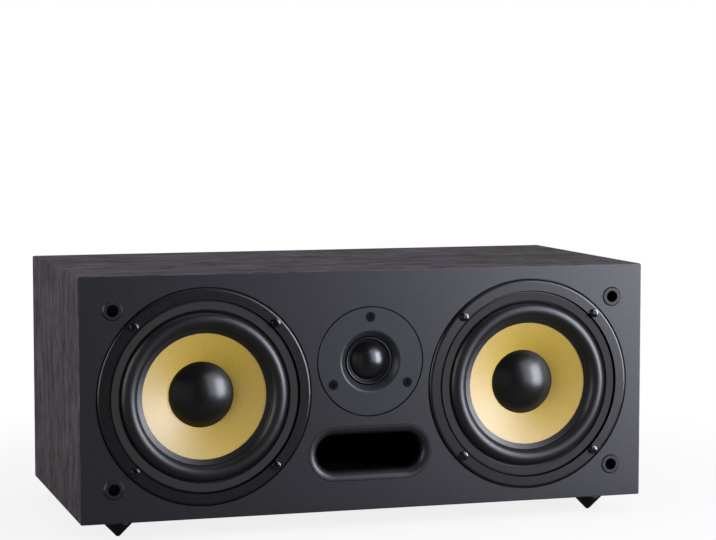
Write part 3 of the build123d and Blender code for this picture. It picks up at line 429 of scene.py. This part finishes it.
surround_flat = 0.0685
roll_outer = 0.0603
roll_inner = 0.0485
roll_height = 0.0045
roll_foot = 0.0006
foot_margin = 0.0015
foot_step = 0.0005
groove_radius = 0.0609
groove_half = 0.0007
groove_depth = 0.0006
lip_bend = 0.0488
lip_inner = 0.0446
lip_depth = 0.0022
lip_slope = 0.393
rubber_thickness = 0.0007
flat_rows = 6
roll_rows = 72
lip_rows = 8
surround_steps = 256


def surround_line():
    """Front of the surround from its flat to its lip. Over the roll the height is that of a circular
    arc, and a soft maximum with the flats rounds its two feet. Outside the roll runs a V groove, and
    the lip falls with the cone's slope."""
    radius = np.concatenate((
        np.linspace(surround_flat, roll_outer + foot_margin + foot_step, flat_rows),
        np.linspace(roll_outer + foot_margin, roll_inner - foot_margin, roll_rows),
        np.linspace(roll_inner - foot_margin - foot_step, lip_inner, lip_rows),
    ))
    half = (roll_outer - roll_inner) / 2
    ball = (half**2 + roll_height**2) / (2 * roll_height)
    aside = radius - (roll_outer + roll_inner) / 2
    arc = np.sqrt(np.maximum(ball**2 - aside**2, 0.0)) - (ball - roll_height)
    height = 0.5 * (arc + np.sqrt(arc**2 + roll_foot**2)) - 0.5 * roll_foot
    groove = groove_depth * np.maximum(1.0 - np.abs(radius - groove_radius) / groove_half, 0.0)
    lip = lip_slope * np.maximum(lip_bend - radius, 0.0)
    return radius, lip_depth - np.maximum(height, 0.0) + groove + lip


rubber_dark = (0.0014, 0.0014, 0.0018)
rubber_light = (0.0036, 0.0036, 0.0045)
rubber, rubber_tree, rubber_shader = new_finish("surround_rubber", Specular_IOR_Level=0.6)
bloom = noise(rubber_tree, object_place(rubber_tree), Scale=60.0, Detail=5.0)
grit = noise(rubber_tree, object_place(rubber_tree), Scale=2200.0, Detail=2.0)
fill(
    rubber_tree, rubber_shader,
    Base_Color=colour_between(rubber_tree, bloom, rubber_dark, rubber_light),
    Roughness=value_between(rubber_tree, bloom, 0.35, 0.44),
    Normal=raised(rubber_tree, grit, 0.06, 0.0001),
)

sides = ("left", "right")
woofer_face = {side: front_middle(f"woofer_{side}_basket") for side in sides}
surround_skin = offset_skin(*surround_line(), rubber_thickness)
for side in sides:
    points = turn_profile(*surround_skin, woofer_face[side], surround_steps)
    piece = closed_grid(f"surround_roll_{side}", points)
    piece.data.materials.append(rubber)
    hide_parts(f"woofer_{side}_surround")
    give_with(piece)


# Woofer cones: shallow flared shells of woven yellow aramid cloth, set with a clear resin.
# The cloth lies flat before it is pressed, so its threads keep straight across the cone.
cone_rim = 0.0475
cone_neck = 0.0131
cone_curve = 0.141
cone_rim_angle = radians(20.8)
cone_rim_depth = 0.0030
cone_thickness = 0.0008
cone_rows = 96
cone_back_rows = 10
cone_steps = 660
thread_pitch = 0.00115
thread_relief = 0.00010


def cone_line(radius, skin):
    """Depth of the cone at a radius: a circular arc, with skin moved in from its front."""
    centre_radius = cone_rim + cone_curve * sin(cone_rim_angle)
    centre_depth = cone_rim_depth + cone_curve * cos(cone_rim_angle)
    return centre_depth - np.sqrt((cone_curve - skin) ** 2 - (centre_radius - radius) ** 2)


def weave_height(across, up):
    """Crowns of a plain weave laid at 45 degrees. With u and v the thread counts along the two
    diagonals, each cell is a pillow of sin u times sin v, longer along the thread that is on top."""
    wave_u = np.sin(pi * (across - up) / (np.sqrt(2.0) * thread_pitch))
    wave_v = np.sin(pi * (across + up) / (np.sqrt(2.0) * thread_pitch))
    on_top = wave_u * wave_v > 0.0
    warp = np.sqrt(np.abs(wave_u)) * np.abs(wave_v)
    weft = np.abs(wave_u) * np.sqrt(np.abs(wave_v))
    return np.where(on_top, warp, weft)


cloth_weave, weave_in, weave_end = new_group(
    "cloth_weave", {"Vector": "Vector"}, {"Over": "Float", "Height": "Float"}
)
thread = add_node(cloth_weave, "SeparateXYZ", Vector=weave_in["Vector"])
thread_u = calculate(cloth_weave, "SINE", calculate(cloth_weave, "MULTIPLY", thread.outputs["X"], pi))
thread_v = calculate(cloth_weave, "SINE", calculate(cloth_weave, "MULTIPLY", thread.outputs["Y"], pi))
over = calculate(cloth_weave, "GREATER_THAN", calculate(cloth_weave, "MULTIPLY", thread_u, thread_v), 0.0)
size_u = calculate(cloth_weave, "ABSOLUTE", thread_u)
size_v = calculate(cloth_weave, "ABSOLUTE", thread_v)
warp_crown = calculate(cloth_weave, "MULTIPLY", calculate(cloth_weave, "SQRT", size_u), size_v)
weft_crown = calculate(cloth_weave, "MULTIPLY", size_u, calculate(cloth_weave, "SQRT", size_v))
crown = add_node(cloth_weave, "Mix", {"data_type": "FLOAT"})
cloth_weave.links.new(over, crown.inputs[0])
cloth_weave.links.new(weft_crown, crown.inputs[2])
cloth_weave.links.new(warp_crown, crown.inputs[3])
fill(cloth_weave, weave_end, Over=over, Height=crown.outputs[0])


def threads_on(tree, pitch, lay):
    """Weave masks on cloth that faces forward: which thread is on top, and the height of its crown.
    lay turns the threads about the axis."""
    upright = add_node(tree, "Mapping", Vector=object_place(tree), Rotation=(-pi / 2, 0.0, 0.0))
    turned = add_node(tree, "Mapping", Vector=upright.outputs[0], Rotation=(0.0, 0.0, lay))
    counted = add_node(tree, "Mapping", Vector=turned.outputs[0], Scale=(1 / pitch, 1 / pitch, 1 / pitch))
    weave = add_node(tree, "Group", {"node_tree": cloth_weave}, Vector=counted.outputs[0])
    return weave.outputs["Over"], weave.outputs["Height"]


yarn_weft = (0.600, 0.398, 0.004)
yarn_warp = (0.710, 0.492, 0.009)
yarn_dull = (0.528, 0.342, 0.003)
yarn_bright = (0.783, 0.560, 0.013)
# Painted shade: the colour between the threads, darker where the hollows of the weave lie in shade.
painted_gap_shade = (0.268, 0.146, 0.004)
aramid, aramid_tree, aramid_shader = new_finish(
    "woven_aramid", Specular_IOR_Level=0.1, Diffuse_Roughness=1.0, Coat_Weight=1.0, Coat_Roughness=0.57,
    Coat_IOR=2.15
)
aramid_over, aramid_height = threads_on(aramid_tree, thread_pitch, pi / 4)
yarn = noise(aramid_tree, object_place(aramid_tree), Scale=420.0, Detail=3.0)
crossed_yarn = colour_between(aramid_tree, aramid_over, yarn_weft, yarn_warp)
uneven_yarn = colour_between(aramid_tree, yarn, yarn_dull, yarn_bright)
mixed_yarn = colour_between(aramid_tree, 0.4, crossed_yarn, uneven_yarn)
# on_thread fades from the painted shade in the hollows to the yarn's colour on the crowns.
on_thread = share_between(aramid_tree, aramid_height, 0.0, 0.45)
fill(
    aramid_tree, aramid_shader,
    Base_Color=colour_between(aramid_tree, on_thread, painted_gap_shade, mixed_yarn),
    Roughness=value_between(aramid_tree, yarn, 0.36, 0.50),
    Normal=raised(aramid_tree, aramid_height, 0.25, 0.0001),
)

front_radius = np.linspace(cone_rim, cone_neck, cone_rows)
back_radius = np.linspace(cone_neck, cone_rim, cone_back_rows)
cone_radius = np.append(front_radius, back_radius)
cone_depth = np.append(cone_line(front_radius, 0.0), cone_line(back_radius, cone_thickness))
for side in sides:
    points = turn_profile(cone_radius, cone_depth, woofer_face[side], cone_steps)
    cloth = points[1:cone_rows - 1]
    cloth[..., 1] += thread_relief * (0.5 - weave_height(cloth[..., 0], cloth[..., 2]))
    piece = closed_grid(f"woven_cone_{side}", points)
    piece.data.materials.append(aramid)
    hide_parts(f"woofer_{side}_cone")
    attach(piece, f"woofer_{side}_diaphragm")


# Dust caps: pressed domes of black plastic over the middle of each cone, to keep dirt out of the
# gap behind it. The edge of each is glued to the cone.
weld_distance = 1e-6
crisp_angle = radians(35.0)


def welded_stacks(name, stacks):
    """Closed skins in one piece. Each stack has a ring of points to a row and shrinks to a point at
    both ends, where its rings are welded."""
    rows, steps = stacks[0].shape[:2]
    index = np.arange(rows * steps).reshape(rows, steps)
    quads = grid_quads(np.pad(index, ((0, 0), (0, 1)), mode="wrap"))
    shifts = rows * steps * np.arange(len(stacks))
    piece = new_piece(
        name, np.concatenate(stacks).reshape(-1, 3), np.concatenate([quads + shift for shift in shifts])
    )
    skin = bmesh.new()
    skin.from_mesh(piece.data)
    bmesh.ops.remove_doubles(skin, verts=skin.verts, dist=weld_distance)
    bmesh.ops.recalc_face_normals(skin, faces=skin.faces)
    skin.to_mesh(piece.data)
    skin.free()
    return piece


cap_plastic = textured(
    "cap_plastic", dark=(0.0010, 0.0010, 0.0010), light=(0.0030, 0.0030, 0.0030),
    smooth=0.27, rough=0.30, scale=1800.0, depth=0.004
)
cap_thickness = 0.0007
cap_rows = (40, 12)
cap_steps = 128


def cap_points(node):
    """A turned dome as wide and as high as a node's box: two circular arcs about one centre, the
    inner one smaller by the thickness."""
    low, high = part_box(node)
    cap_radius = (high[0] - low[0]) / 2
    cap_height = high[1] - low[1]
    ball = (cap_radius**2 + cap_height**2) / (2 * cap_height)
    inner_radius = np.sqrt((ball - cap_thickness) ** 2 - (ball - cap_height) ** 2)
    outside = np.linspace(0.0, cap_radius, cap_rows[0])
    inside = np.linspace(inner_radius, 0.0, cap_rows[1])
    radius = np.append(outside, inside)
    skin = np.repeat((ball, ball - cap_thickness), cap_rows)
    return turn_profile(radius, ball - np.sqrt(skin**2 - radius**2), front_middle(node), cap_steps)


for side in sides:
    piece = welded_stacks(f"cap_{side}", [cap_points(f"woofer_{side}_dust_cap")])
    piece.data.set_sharp_from_angle(angle=crisp_angle)
    piece.data.materials.append(cap_plastic)
    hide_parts(f"woofer_{side}_dust_cap")
    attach(piece, f"woofer_{side}_diaphragm")


# Spiders: rings of resin-stiffened cloth, pressed into waves, that centre each voice coil.
# The neck is glued to the coil former and the outer edge to the basket's ledge.
spider_neck = 0.0131
spider_waves_from = 0.0151
spider_waves_to = 0.0341
spider_edge = 0.0400
spider_depth = 0.0265
spider_wave = 0.0015
spider_wave_count = 2.5
spider_thickness = 0.0005
spider_pitch = 0.0006
spider_rows = 90
spider_steps = 160


def spider_line():
    """Front of a spider: flat neck and edge, and between them a sine of whole and half waves."""
    radius = np.linspace(spider_edge, spider_neck, spider_rows)
    turn = np.clip((radius - spider_waves_from) / (spider_waves_to - spider_waves_from), 0.0, 1.0)
    return radius, spider_depth - spider_wave * np.sin(2.0 * pi * spider_wave_count * turn)


spider_cloth, spider_tree, spider_shader = new_finish("spider_cloth", Specular_IOR_Level=0.3)
spider_over, spider_height = threads_on(spider_tree, spider_pitch, 0.0)
spider_yarn = colour_between(spider_tree, spider_over, (0.42, 0.24, 0.075), (0.55, 0.34, 0.12))
fill(
    spider_tree, spider_shader,
    # Painted shade: where the weave is low the colour falls to dark brown, for the shade between the threads.
    Base_Color=colour_between(spider_tree, spider_height, (0.16, 0.085, 0.025), spider_yarn),
    Roughness=value_between(spider_tree, spider_height, 0.85, 0.65),
    Normal=raised(spider_tree, spider_height, 0.4, 0.0001),
)
spider_skin = offset_skin(*spider_line(), spider_thickness)
for side in sides:
    points = turn_profile(*spider_skin, woofer_face[side], spider_steps)
    piece = closed_grid(f"spider_waves_{side}", points)
    piece.data.materials.append(spider_cloth)
    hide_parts(f"woofer_{side}_spider")
    give_with(
        piece
    )


# Voice coils: lacquered copper wire wound in one layer on a thin former, glued into each neck.
# The turns lie side by side, so the wire shows as fine rings, with painted shade in the dips between them.
wire_pitch = 0.00035
copper, copper_tree, copper_shader = new_finish("coil_copper", Metallic=1.0)
wound = add_node(copper_tree, "Mapping", Vector=object_place(copper_tree), Scale=(0.0, 1.0, 0.0))
winding = add_node(
    copper_tree, "TexWave", {"bands_direction": "Y"}, Vector=wound.outputs[0], Scale=pi / (10 * wire_pitch)
)
turns = winding.outputs["Fac"]
fill(
    copper_tree, copper_shader,
    # Painted shade: the darker copper colour lies in the dips between the turns.
    Base_Color=colour_between(copper_tree, turns, (0.32, 0.10, 0.035), (0.78, 0.33, 0.14)),
    Roughness=value_between(copper_tree, turns, 0.42, 0.24),
    Normal=raised(copper_tree, turns, 0.6, 0.0001),
)
dress(copper, "woofer_left_voice_coil", "woofer_right_voice_coil", "tweeter_voice_coil")


# Motors: a ring magnet of grey ferrite between a steel top plate and a yoke with its pole piece.
# The steel is plated with a pale zinc, and the magnets are ground on their flat sides.
zinc_steel = textured(
    "zinc_steel", dark=(0.42, 0.42, 0.40), light=(0.58, 0.58, 0.56),
    smooth=0.26, rough=0.44, scale=260.0, depth=0.10, Metallic=1.0
)
ferrite = textured(
    "ferrite", dark=(0.016, 0.016, 0.017), light=(0.040, 0.040, 0.042),
    smooth=0.50, rough=0.75, scale=900.0, depth=0.35
)
motors = ("woofer_left", "woofer_right", "tweeter")
dress(zinc_steel, *[f"{motor}_{part}" for motor in motors for part in ("top_plate", "yoke")])
dress(ferrite, *[f"{motor}_magnet" for motor in motors])


# Driver terminals: strips of brown laminated board with two tabs each, for the leads.
# Pressed from paper and resin, punched out and riveted to the frames.
strip_board = textured(
    "strip_board", dark=(0.085, 0.036, 0.014), light=(0.150, 0.070, 0.028),
    smooth=0.40, rough=0.58, scale=480.0, depth=0.18
)
dress(strip_board, *[f"{motor}_terminals" for motor in motors])


# Screws: black cross-headed wood screws. Those of the woofers have rounded pan heads with a
# burnished black finish; the others are countersunk and stay dull.
screw_black = textured(
    "screw_black", dark=(0.0012, 0.0012, 0.0015), light=(0.0036, 0.0036, 0.0042),
    smooth=0.44, rough=0.54, scale=900.0, depth=0.10, Specular_IOR_Level=0.1
)
dress(screw_black, "tweeter_screws", "terminal_cup_screws", "crossover_fixings")

head_dark = (0.055, 0.055, 0.058)
head_light = (0.085, 0.085, 0.090)
pan_head, pan_tree, pan_shader = new_finish("pan_head", Metallic=1.0)
wear = noise(pan_tree, object_place(pan_tree), Scale=900.0, Detail=3.0)
fill(
    pan_tree, pan_shader,
    Base_Color=colour_between(pan_tree, wear, head_dark, head_light),
    Roughness=value_between(pan_tree, wear, 0.13, 0.18),
)

screw_offset = 0.0717 / np.sqrt(2.0)
head_radius = 0.0032
head_height = 0.0020
head_fall = 0.0005
crown_share = 0.94
edge_share = 0.985
edge_top = 0.00140
edge_low = 0.00115
shank_radius = 0.0020
screw_length = 0.0160
slot_reach = 0.0016
slot_width = 0.0008
slot_depth = 0.0010
crown_rows = 20
screw_steps = 40


def pan_screw(centre):
    """A screw turned about its axis. The crown falls with the cube of the radius, its edge is rounded,
    and a cross of two slots is sunk in the middle."""
    crown = np.linspace(0.0, crown_share * head_radius, crown_rows)
    edge = head_radius * np.array((edge_share, 1.0, 1.0))
    radius = np.concatenate((crown, edge, (shank_radius, shank_radius, 0.0)))
    crown_depth = head_fall * (crown / head_radius) ** 3 - head_height
    shank_depth = (-edge_top, -edge_low, 0.0, 0.0, screw_length - shank_radius, screw_length)
    points = turn_profile(radius, np.append(crown_depth, shank_depth), centre, screw_steps)
    top = points[:crown_rows]
    aside = np.abs(top[..., 0] - centre[0])
    above = np.abs(top[..., 2] - centre[2])
    slotted = (np.minimum(aside, above) < slot_width / 2) & (np.maximum(aside, above) < slot_reach)
    top[..., 1] += slot_depth * slotted
    return points


for side in sides:
    across, front, up = woofer_face[side]
    corners = [
        (across + screw_offset * turn_x, front, up + screw_offset * turn_z)
        for turn_x in (-1.0, 1.0) for turn_z in (-1.0, 1.0)
    ]
    screws = welded_stacks(f"pan_screws_{side}", [pan_screw(corner) for corner in corners])
    screws.data.set_sharp_from_angle(angle=crisp_angle)
    screws.data.materials.append(pan_head)
    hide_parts(f"woofer_{side}_screws")
    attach(screws, "cabinet")


# Tweeter: a flush faceplate with a small flare round a soft dome, which hangs in a narrow roll.
# The plate is moulded and painted like the baffle. Dome and roll are doped fabric, the dome with
# a glossy skin, and the roll is clamped under the plate.
faceplate_paint = textured(
    "faceplate_paint", dark=(0.0085, 0.0096, 0.0122), light=(0.0180, 0.0200, 0.0246),
    smooth=0.38, rough=0.44, scale=1400.0, depth=0.18
)
dress(faceplate_paint, "tweeter_faceplate")
doping_dark = (0.0012, 0.0012, 0.0012)
doping_light = (0.0032, 0.0032, 0.0032)
dome_doping = textured(
    "doped_dome", dark=doping_dark, light=doping_light,
    smooth=0.22, rough=0.28, scale=2400.0, depth=0.03, Specular_IOR_Level=0.6
)
dress(dome_doping, "tweeter_dome")
roll_doping = textured(
    "roll_doping", dark=doping_dark, light=doping_light,
    smooth=0.34, rough=0.42, scale=2400.0, depth=0.03
)

dome_lip = 0.01392
dome_roll_inner = 0.0141
dome_roll_outer = 0.0176
dome_clamp = 0.0207
dome_roll_depth = 0.0055
dome_roll_height = 0.0016
dome_roll_lean = 1.7
dome_roll_fullness = 0.8
dome_cloth = 0.0004
dome_roll_rows = 52
dome_roll_steps = 160


def dome_roll_line():
    """Front of the dome's surround: a flat under the plate, half a sine wave that leans outward, and
    a narrow lip under the dome's edge."""
    radius = np.linspace(dome_clamp, dome_lip, dome_roll_rows)
    turn = np.clip((radius - dome_roll_inner) / (dome_roll_outer - dome_roll_inner), 0.0, 1.0)
    wave = np.sin(pi * turn**dome_roll_lean) ** dome_roll_fullness
    return radius, dome_roll_depth - dome_roll_height * wave


tweeter_face = front_middle("tweeter_faceplate")
dome_roll_skin = offset_skin(*dome_roll_line(), dome_cloth)
piece = closed_grid("dome_roll", turn_profile(*dome_roll_skin, tweeter_face, dome_roll_steps))
piece.data.materials.append(roll_doping)
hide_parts("tweeter_surround")
give_with(piece)


# Terminal cup: the recessed plate on the rear panel that holds the two binding posts.
# Moulded in black plastic with a spark-eroded face.
cup_plastic = textured(
    "cup_plastic", dark=(0.008, 0.008, 0.0085), light=(0.015, 0.015, 0.016),
    smooth=0.42, rough=0.58, scale=1500.0, depth=0.40
)
dress(cup_plastic, "terminal_cup")


# Binding posts: gold-flashed studs through the cup, each with a clamp collar and a fluted knob.
# The knobs are clear-coloured plastic, red for plus and black for minus.
gold = textured(
    "gold_flash", dark=(0.70, 0.48, 0.15), light=(0.85, 0.62, 0.24),
    smooth=0.16, rough=0.28, scale=500.0, depth=0.05, Metallic=1.0
)
dress(gold, "post_red_stud", "post_black_stud", "post_red_collar", "post_black_collar")
knob_red = textured(
    "knob_red", dark=(0.42, 0.010, 0.012), light=(0.56, 0.020, 0.020),
    smooth=0.16, rough=0.26, scale=600.0, depth=0.05, Coat_Weight=0.5
)
dress(knob_red, "post_red_knob")
knob_black = textured(
    "knob_black", dark=(0.008, 0.008, 0.008), light=(0.014, 0.014, 0.014),
    smooth=0.16, rough=0.26, scale=600.0, depth=0.05, Coat_Weight=0.5
)
dress(knob_black, "post_black_knob")


# Crossover: a brown laminate board on sleeves inside the rear panel, with two air-cored coils of
# enamelled copper wire, two film capacitors and a cement resistor stuck down on it.
board_laminate = textured(
    "board_laminate", dark=(0.090, 0.042, 0.018), light=(0.150, 0.078, 0.034),
    smooth=0.42, rough=0.60, scale=320.0, depth=0.15
)
dress(board_laminate, "crossover_board")
film = textured(
    "capacitor_film", dark=(0.55, 0.42, 0.050), light=(0.66, 0.52, 0.085),
    smooth=0.22, rough=0.34, scale=260.0, depth=0.06
)
dress(film, "crossover_capacitors")
cement = textured(
    "resistor_cement", dark=(0.52, 0.51, 0.47), light=(0.72, 0.71, 0.67),
    smooth=0.65, rough=0.85, scale=900.0, depth=0.5
)
dress(cement, "crossover_resistor")
enamel = textured(
    "enamelled_copper", dark=(0.50, 0.155, 0.050), light=(0.72, 0.28, 0.10),
    smooth=0.22, rough=0.36, scale=300.0, depth=0.05, Metallic=1.0
)
turn_points = 8
turn_dip = 0.35
coil_steps = 96


def wound_side(first, last, wire):
    """Points along one side of a coil's section, and how far the gaps between its turns dip: a share
    of the wire times 1 less the size of the sine, with half a wave to a turn."""
    line = np.linspace(first, last, turn_points * max(int((last - first) / wire), 1) + 1)
    gaps = 1.0 - np.abs(np.sin(pi * (line - first) / (line[turn_points] - line[0])))
    return line, turn_dip * wire * gaps


def wound_coil(node, wire, bore):
    """An air-cored coil in the place of a plain ring. The section is a rectangle whose four sides
    are scalloped by the turns; bore is the inner radius as a share of the outer."""
    low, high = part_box(node)
    outer = (high[0] - low[0]) / 2
    length = high[1] - low[1]
    inner = outer * bore
    across, dip_across = wound_side(inner, outer, wire)
    along, dip_along = wound_side(0.0, length, wire)
    radius = np.concatenate((
        across[::-1][1:-1], (inner + dip_along)[1:-1], across[1:-1], (outer - dip_along)[::-1][1:-1]
    ))
    depth = np.concatenate((
        dip_across[::-1][1:-1], along[1:-1], (length - dip_across)[1:-1], along[::-1][1:-1]
    ))
    piece = closed_grid(f"{node}_turns", turn_profile(radius, depth, front_middle(node), coil_steps))
    piece.data.materials.append(enamel)
    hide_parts(node)
    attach(piece, "cabinet")


wound_coil("woofer_inductor", wire=0.0014, bore=16.0 / 42.0)
wound_coil("tweeter_inductor", wire=0.0009, bore=12.0 / 28.0)


# Internal leads: soft two-core cables from the posts and the drivers to the board.
# Stranded copper in a dark grey sheath, soldered at both ends.
lead_sheath = textured(
    "lead_sheath", dark=(0.045, 0.045, 0.048), light=(0.075, 0.075, 0.080),
    smooth=0.40, rough=0.52, scale=500.0, depth=0.08
)
dress(lead_sheath, "internal_leads")


# Damping pads: blocks of grey wool felt glued to the two side walls to soak up the rear wave.
# The felt is needled and cut to size, so its edges are soft and its faces a little uneven.
felt_dark = (0.14, 0.135, 0.13)
felt_light = (0.42, 0.41, 0.39)
felt, felt_tree, felt_shader = new_finish("damping_felt", Specular_IOR_Level=0.1, Sheen_Weight=0.4)
fibre = noise(felt_tree, object_place(felt_tree), Scale=800.0, Detail=6.0, Distortion=1.5)
tuft = noise(felt_tree, object_place(felt_tree), Scale=90.0, Detail=4.0)
felt_mix = calculate(felt_tree, "MULTIPLY", fibre, tuft)
felt_share = share_between(felt_tree, felt_mix, 0.15, 0.40)
fill(
    felt_tree, felt_shader,
    Base_Color=colour_between(felt_tree, felt_share, felt_dark, felt_light),
    Roughness=value_between(felt_tree, felt_share, 0.98, 0.88),
    Normal=raised(felt_tree, fibre, 0.8, 0.0008),
)

pad_thickness = 0.018
pad_power = 10.0
pad_swell = 0.02
pad_smoothing = 300.0
pad_rows = 120
pad_steps = 160


def pad_points(side, low, high, seed):
    """A felt pad as a stack of rounded rectangles. Each is a superellipse of power 10 in x and y; its
    size falls to nothing at both ends by the same power, and smoothed noise makes the skin uneven."""
    rise = np.linspace(-1.0, 1.0, pad_rows)
    size = (1.0 - np.abs(rise) ** pad_power) ** (1.0 / pad_power)
    angle = np.linspace(0.0, 2.0 * pi, pad_steps, endpoint=False)
    reach = (np.abs(np.cos(angle)) ** pad_power + np.abs(np.sin(angle)) ** pad_power) ** (-1.0 / pad_power)
    rough = np.random.default_rng(seed).normal(size=(pad_rows, pad_steps))
    row_wave = np.fft.fftfreq(pad_rows)[:, None]
    step_wave = np.fft.fftfreq(pad_steps)[None, :]
    fading = np.exp(-pad_smoothing * (row_wave**2 + step_wave**2))
    smooth = np.real(np.fft.ifft2(np.fft.fft2(rough) * fading))
    swell = 1.0 - pad_swell + pad_swell * np.clip(smooth / np.abs(smooth).max(), -1.0, 1.0)
    half_x = pad_thickness / 2
    half_y = (high[1] - low[1]) / 2
    half_z = (high[2] - low[2]) / 2
    middle_x = side * (high[0] - half_x)
    x = middle_x + half_x * size[:, None] * reach * np.cos(angle) * swell
    y = (low[1] + high[1]) / 2 + half_y * size[:, None] * reach * np.sin(angle) * swell
    z = (low[2] + high[2]) / 2 + half_z * rise[:, None] * np.ones(pad_steps)
    return np.stack((x, y, z), axis=-1)


low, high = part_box("damping_pads")
pads = welded_stacks("felt_pads", [pad_points(-1.0, low, high, 11), pad_points(1.0, low, high, 12)])
pads.data.materials.append(felt)
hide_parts("damping_pads")
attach(pads, "cabinet")


# Studio: a round pale table that fades into a white room, and a camera to the left and a little
# above. A key box with a wider glow beside it stands to the right of the speaker, a box to the
# left, a weak fill in front, and a box hangs overhead.
table_reach = 0.62
table_sides = 96
fade_from = 0.26
fade_to = 0.58
table_grey = (0.15, 0.15, 0.15)
table_pale = (0.80, 0.80, 0.80)
table_white = 0.84
table_glance = 0.03
table_edge = np.linspace(0.0, 2.0 * pi, table_sides, endpoint=False)
table_rim = np.stack((np.cos(table_edge), np.sin(table_edge), 0.0 * table_edge), axis=-1)
table = bpy.data.meshes.new("floor")
table.from_pydata((table_reach * table_rim).tolist(), [], [list(range(table_sides))])
floor = bpy.data.objects.new("floor", table)
bpy.context.scene.collection.objects.link(floor)


def plainly_seen(tree, ray):
    """1 for rays from the camera, straight or through glass, and 0 for all others."""
    return calculate(tree, "MAXIMUM", ray.outputs["Is Camera Ray"], ray.outputs["Is Transmission Ray"])


def mix_shaders(tree, share, first, second):
    """A shader that goes from first to second as share goes from 0 to 1."""
    node = tree.nodes.new("ShaderNodeMixShader")
    for socket, output in zip(node.inputs, (share, first.outputs[0], second.outputs[0])):
        tree.links.new(output, socket)
    return node


pale, pale_tree, pale_shader = new_finish("pale_floor", Specular_IOR_Level=0.0, Roughness=0.9)
floor_ray = pale_tree.nodes.new("ShaderNodeLightPath")
seen = plainly_seen(pale_tree, floor_ray)
fill(pale_tree, pale_shader, Base_Color=colour_between(pale_tree, seen, table_grey, table_pale))
glanced = calculate(pale_tree, "MULTIPLY", floor_ray.outputs["Is Glossy Ray"], table_glance)
white_share = calculate(pale_tree, "MULTIPLY", seen, table_white)
white_share = calculate(pale_tree, "MAXIMUM", white_share, glanced)
white = add_node(pale_tree, "Emission", Strength=1.0)
lit_floor = mix_shaders(pale_tree, white_share, pale_shader, white)
from_middle = add_node(pale_tree, "VectorMath", {"operation": "LENGTH"}, Vector=object_place(pale_tree))
fade = add_node(
    pale_tree, "MapRange", {"interpolation_type": "SMOOTHSTEP"}, Value=from_middle.outputs["Value"],
    From_Min=fade_from, From_Max=fade_to
)
clear = pale_tree.nodes.new("ShaderNodeBsdfTransparent")
faded_floor = mix_shaders(pale_tree, fade.outputs[0], lit_floor, clear)
fill(pale_tree, pale_tree.nodes["Material Output"], Surface=faded_floor.outputs[0])
table.materials.append(pale)

scene = bpy.context.scene
scene.view_settings.view_transform = "Standard"
room_light = (0.27, 0.27, 0.28)
room_front = (0.05, 0.05, 0.055)
room_back = (0.5, 0.5, 0.5)
room_white = (1.0, 1.0, 1.0)
world = bpy.data.worlds.new("white_room")
world.use_nodes = True
scene.world = world
room = world.node_tree
room_ray = room.nodes.new("ShaderNodeLightPath")
facing = add_node(room, "SeparateXYZ", Vector=room.nodes.new("ShaderNodeTexCoord").outputs["Generated"])
behind = add_node(
    room, "MapRange", {"interpolation_type": "SMOOTHSTEP"}, Value=facing.outputs["Y"],
    From_Min=0.0, From_Max=0.8
)
mirrored = colour_between(room, behind.outputs[0], room_front, room_back)
lit = colour_between(room, room_ray.outputs["Is Glossy Ray"], room_light, mirrored)
shown = colour_between(room, plainly_seen(room, room_ray), lit, room_white)
fill(room, room.nodes["Background"], Color=shown)

light_target = np.array((0.0, -0.1, 0.1))


def soft_box(name, azimuth, elevation, distance, width, height, power, tint):
    """A rectangular lamp that faces the speaker from an azimuth to the right of the baffle's axis."""
    lamp = bpy.data.lights.new(name, "AREA")
    lamp.shape = "RECTANGLE"
    lamp.size = width
    lamp.size_y = height
    lamp.energy = power
    lamp.color = tint
    holder = bpy.data.objects.new(name, lamp)
    turn = radians(azimuth)
    rise = radians(elevation)
    away = np.array((sin(turn) * cos(rise), -cos(turn) * cos(rise), sin(rise)))
    holder.location = light_target + distance * away
    holder.rotation_euler = (pi / 2 - rise, 0.0, turn)
    scene.collection.objects.link(holder)


cool = (0.94, 0.97, 1.10)
neutral = (1.0, 1.0, 1.0)
soft_box(
    "key_box", azimuth=55.0, elevation=8.0, distance=1.20, width=0.52, height=0.80, power=16.0, tint=cool
)
soft_box(
    "key_glow", azimuth=39.0, elevation=17.0, distance=1.30, width=0.85, height=1.15, power=9.5, tint=cool
)
soft_box(
    "left_box", azimuth=-82.0, elevation=13.0, distance=1.50, width=0.80, height=1.00, power=9.0, tint=neutral
)
soft_box(
    "front_fill", azimuth=-40.0, elevation=0.0, distance=1.60, width=1.50, height=1.40, power=1.5, tint=neutral
)
soft_box(
    "top_box", azimuth=0.0, elevation=98.0, distance=1.50, width=1.50, height=1.10, power=6.5, tint=neutral
)

camera_tilt = radians(4.62)
camera_turn = radians(16.94)
camera_lens = bpy.data.cameras.new("camera")
camera_lens.lens = 110.81
camera_lens.sensor_width = 36.0
camera = bpy.data.objects.new("camera", camera_lens)
camera.location = (-0.4651, -1.59905, 0.3130)
camera.rotation_euler = (pi / 2 - camera_tilt, 0.0, -camera_turn)
scene.collection.objects.link(camera)
scene.camera = camera
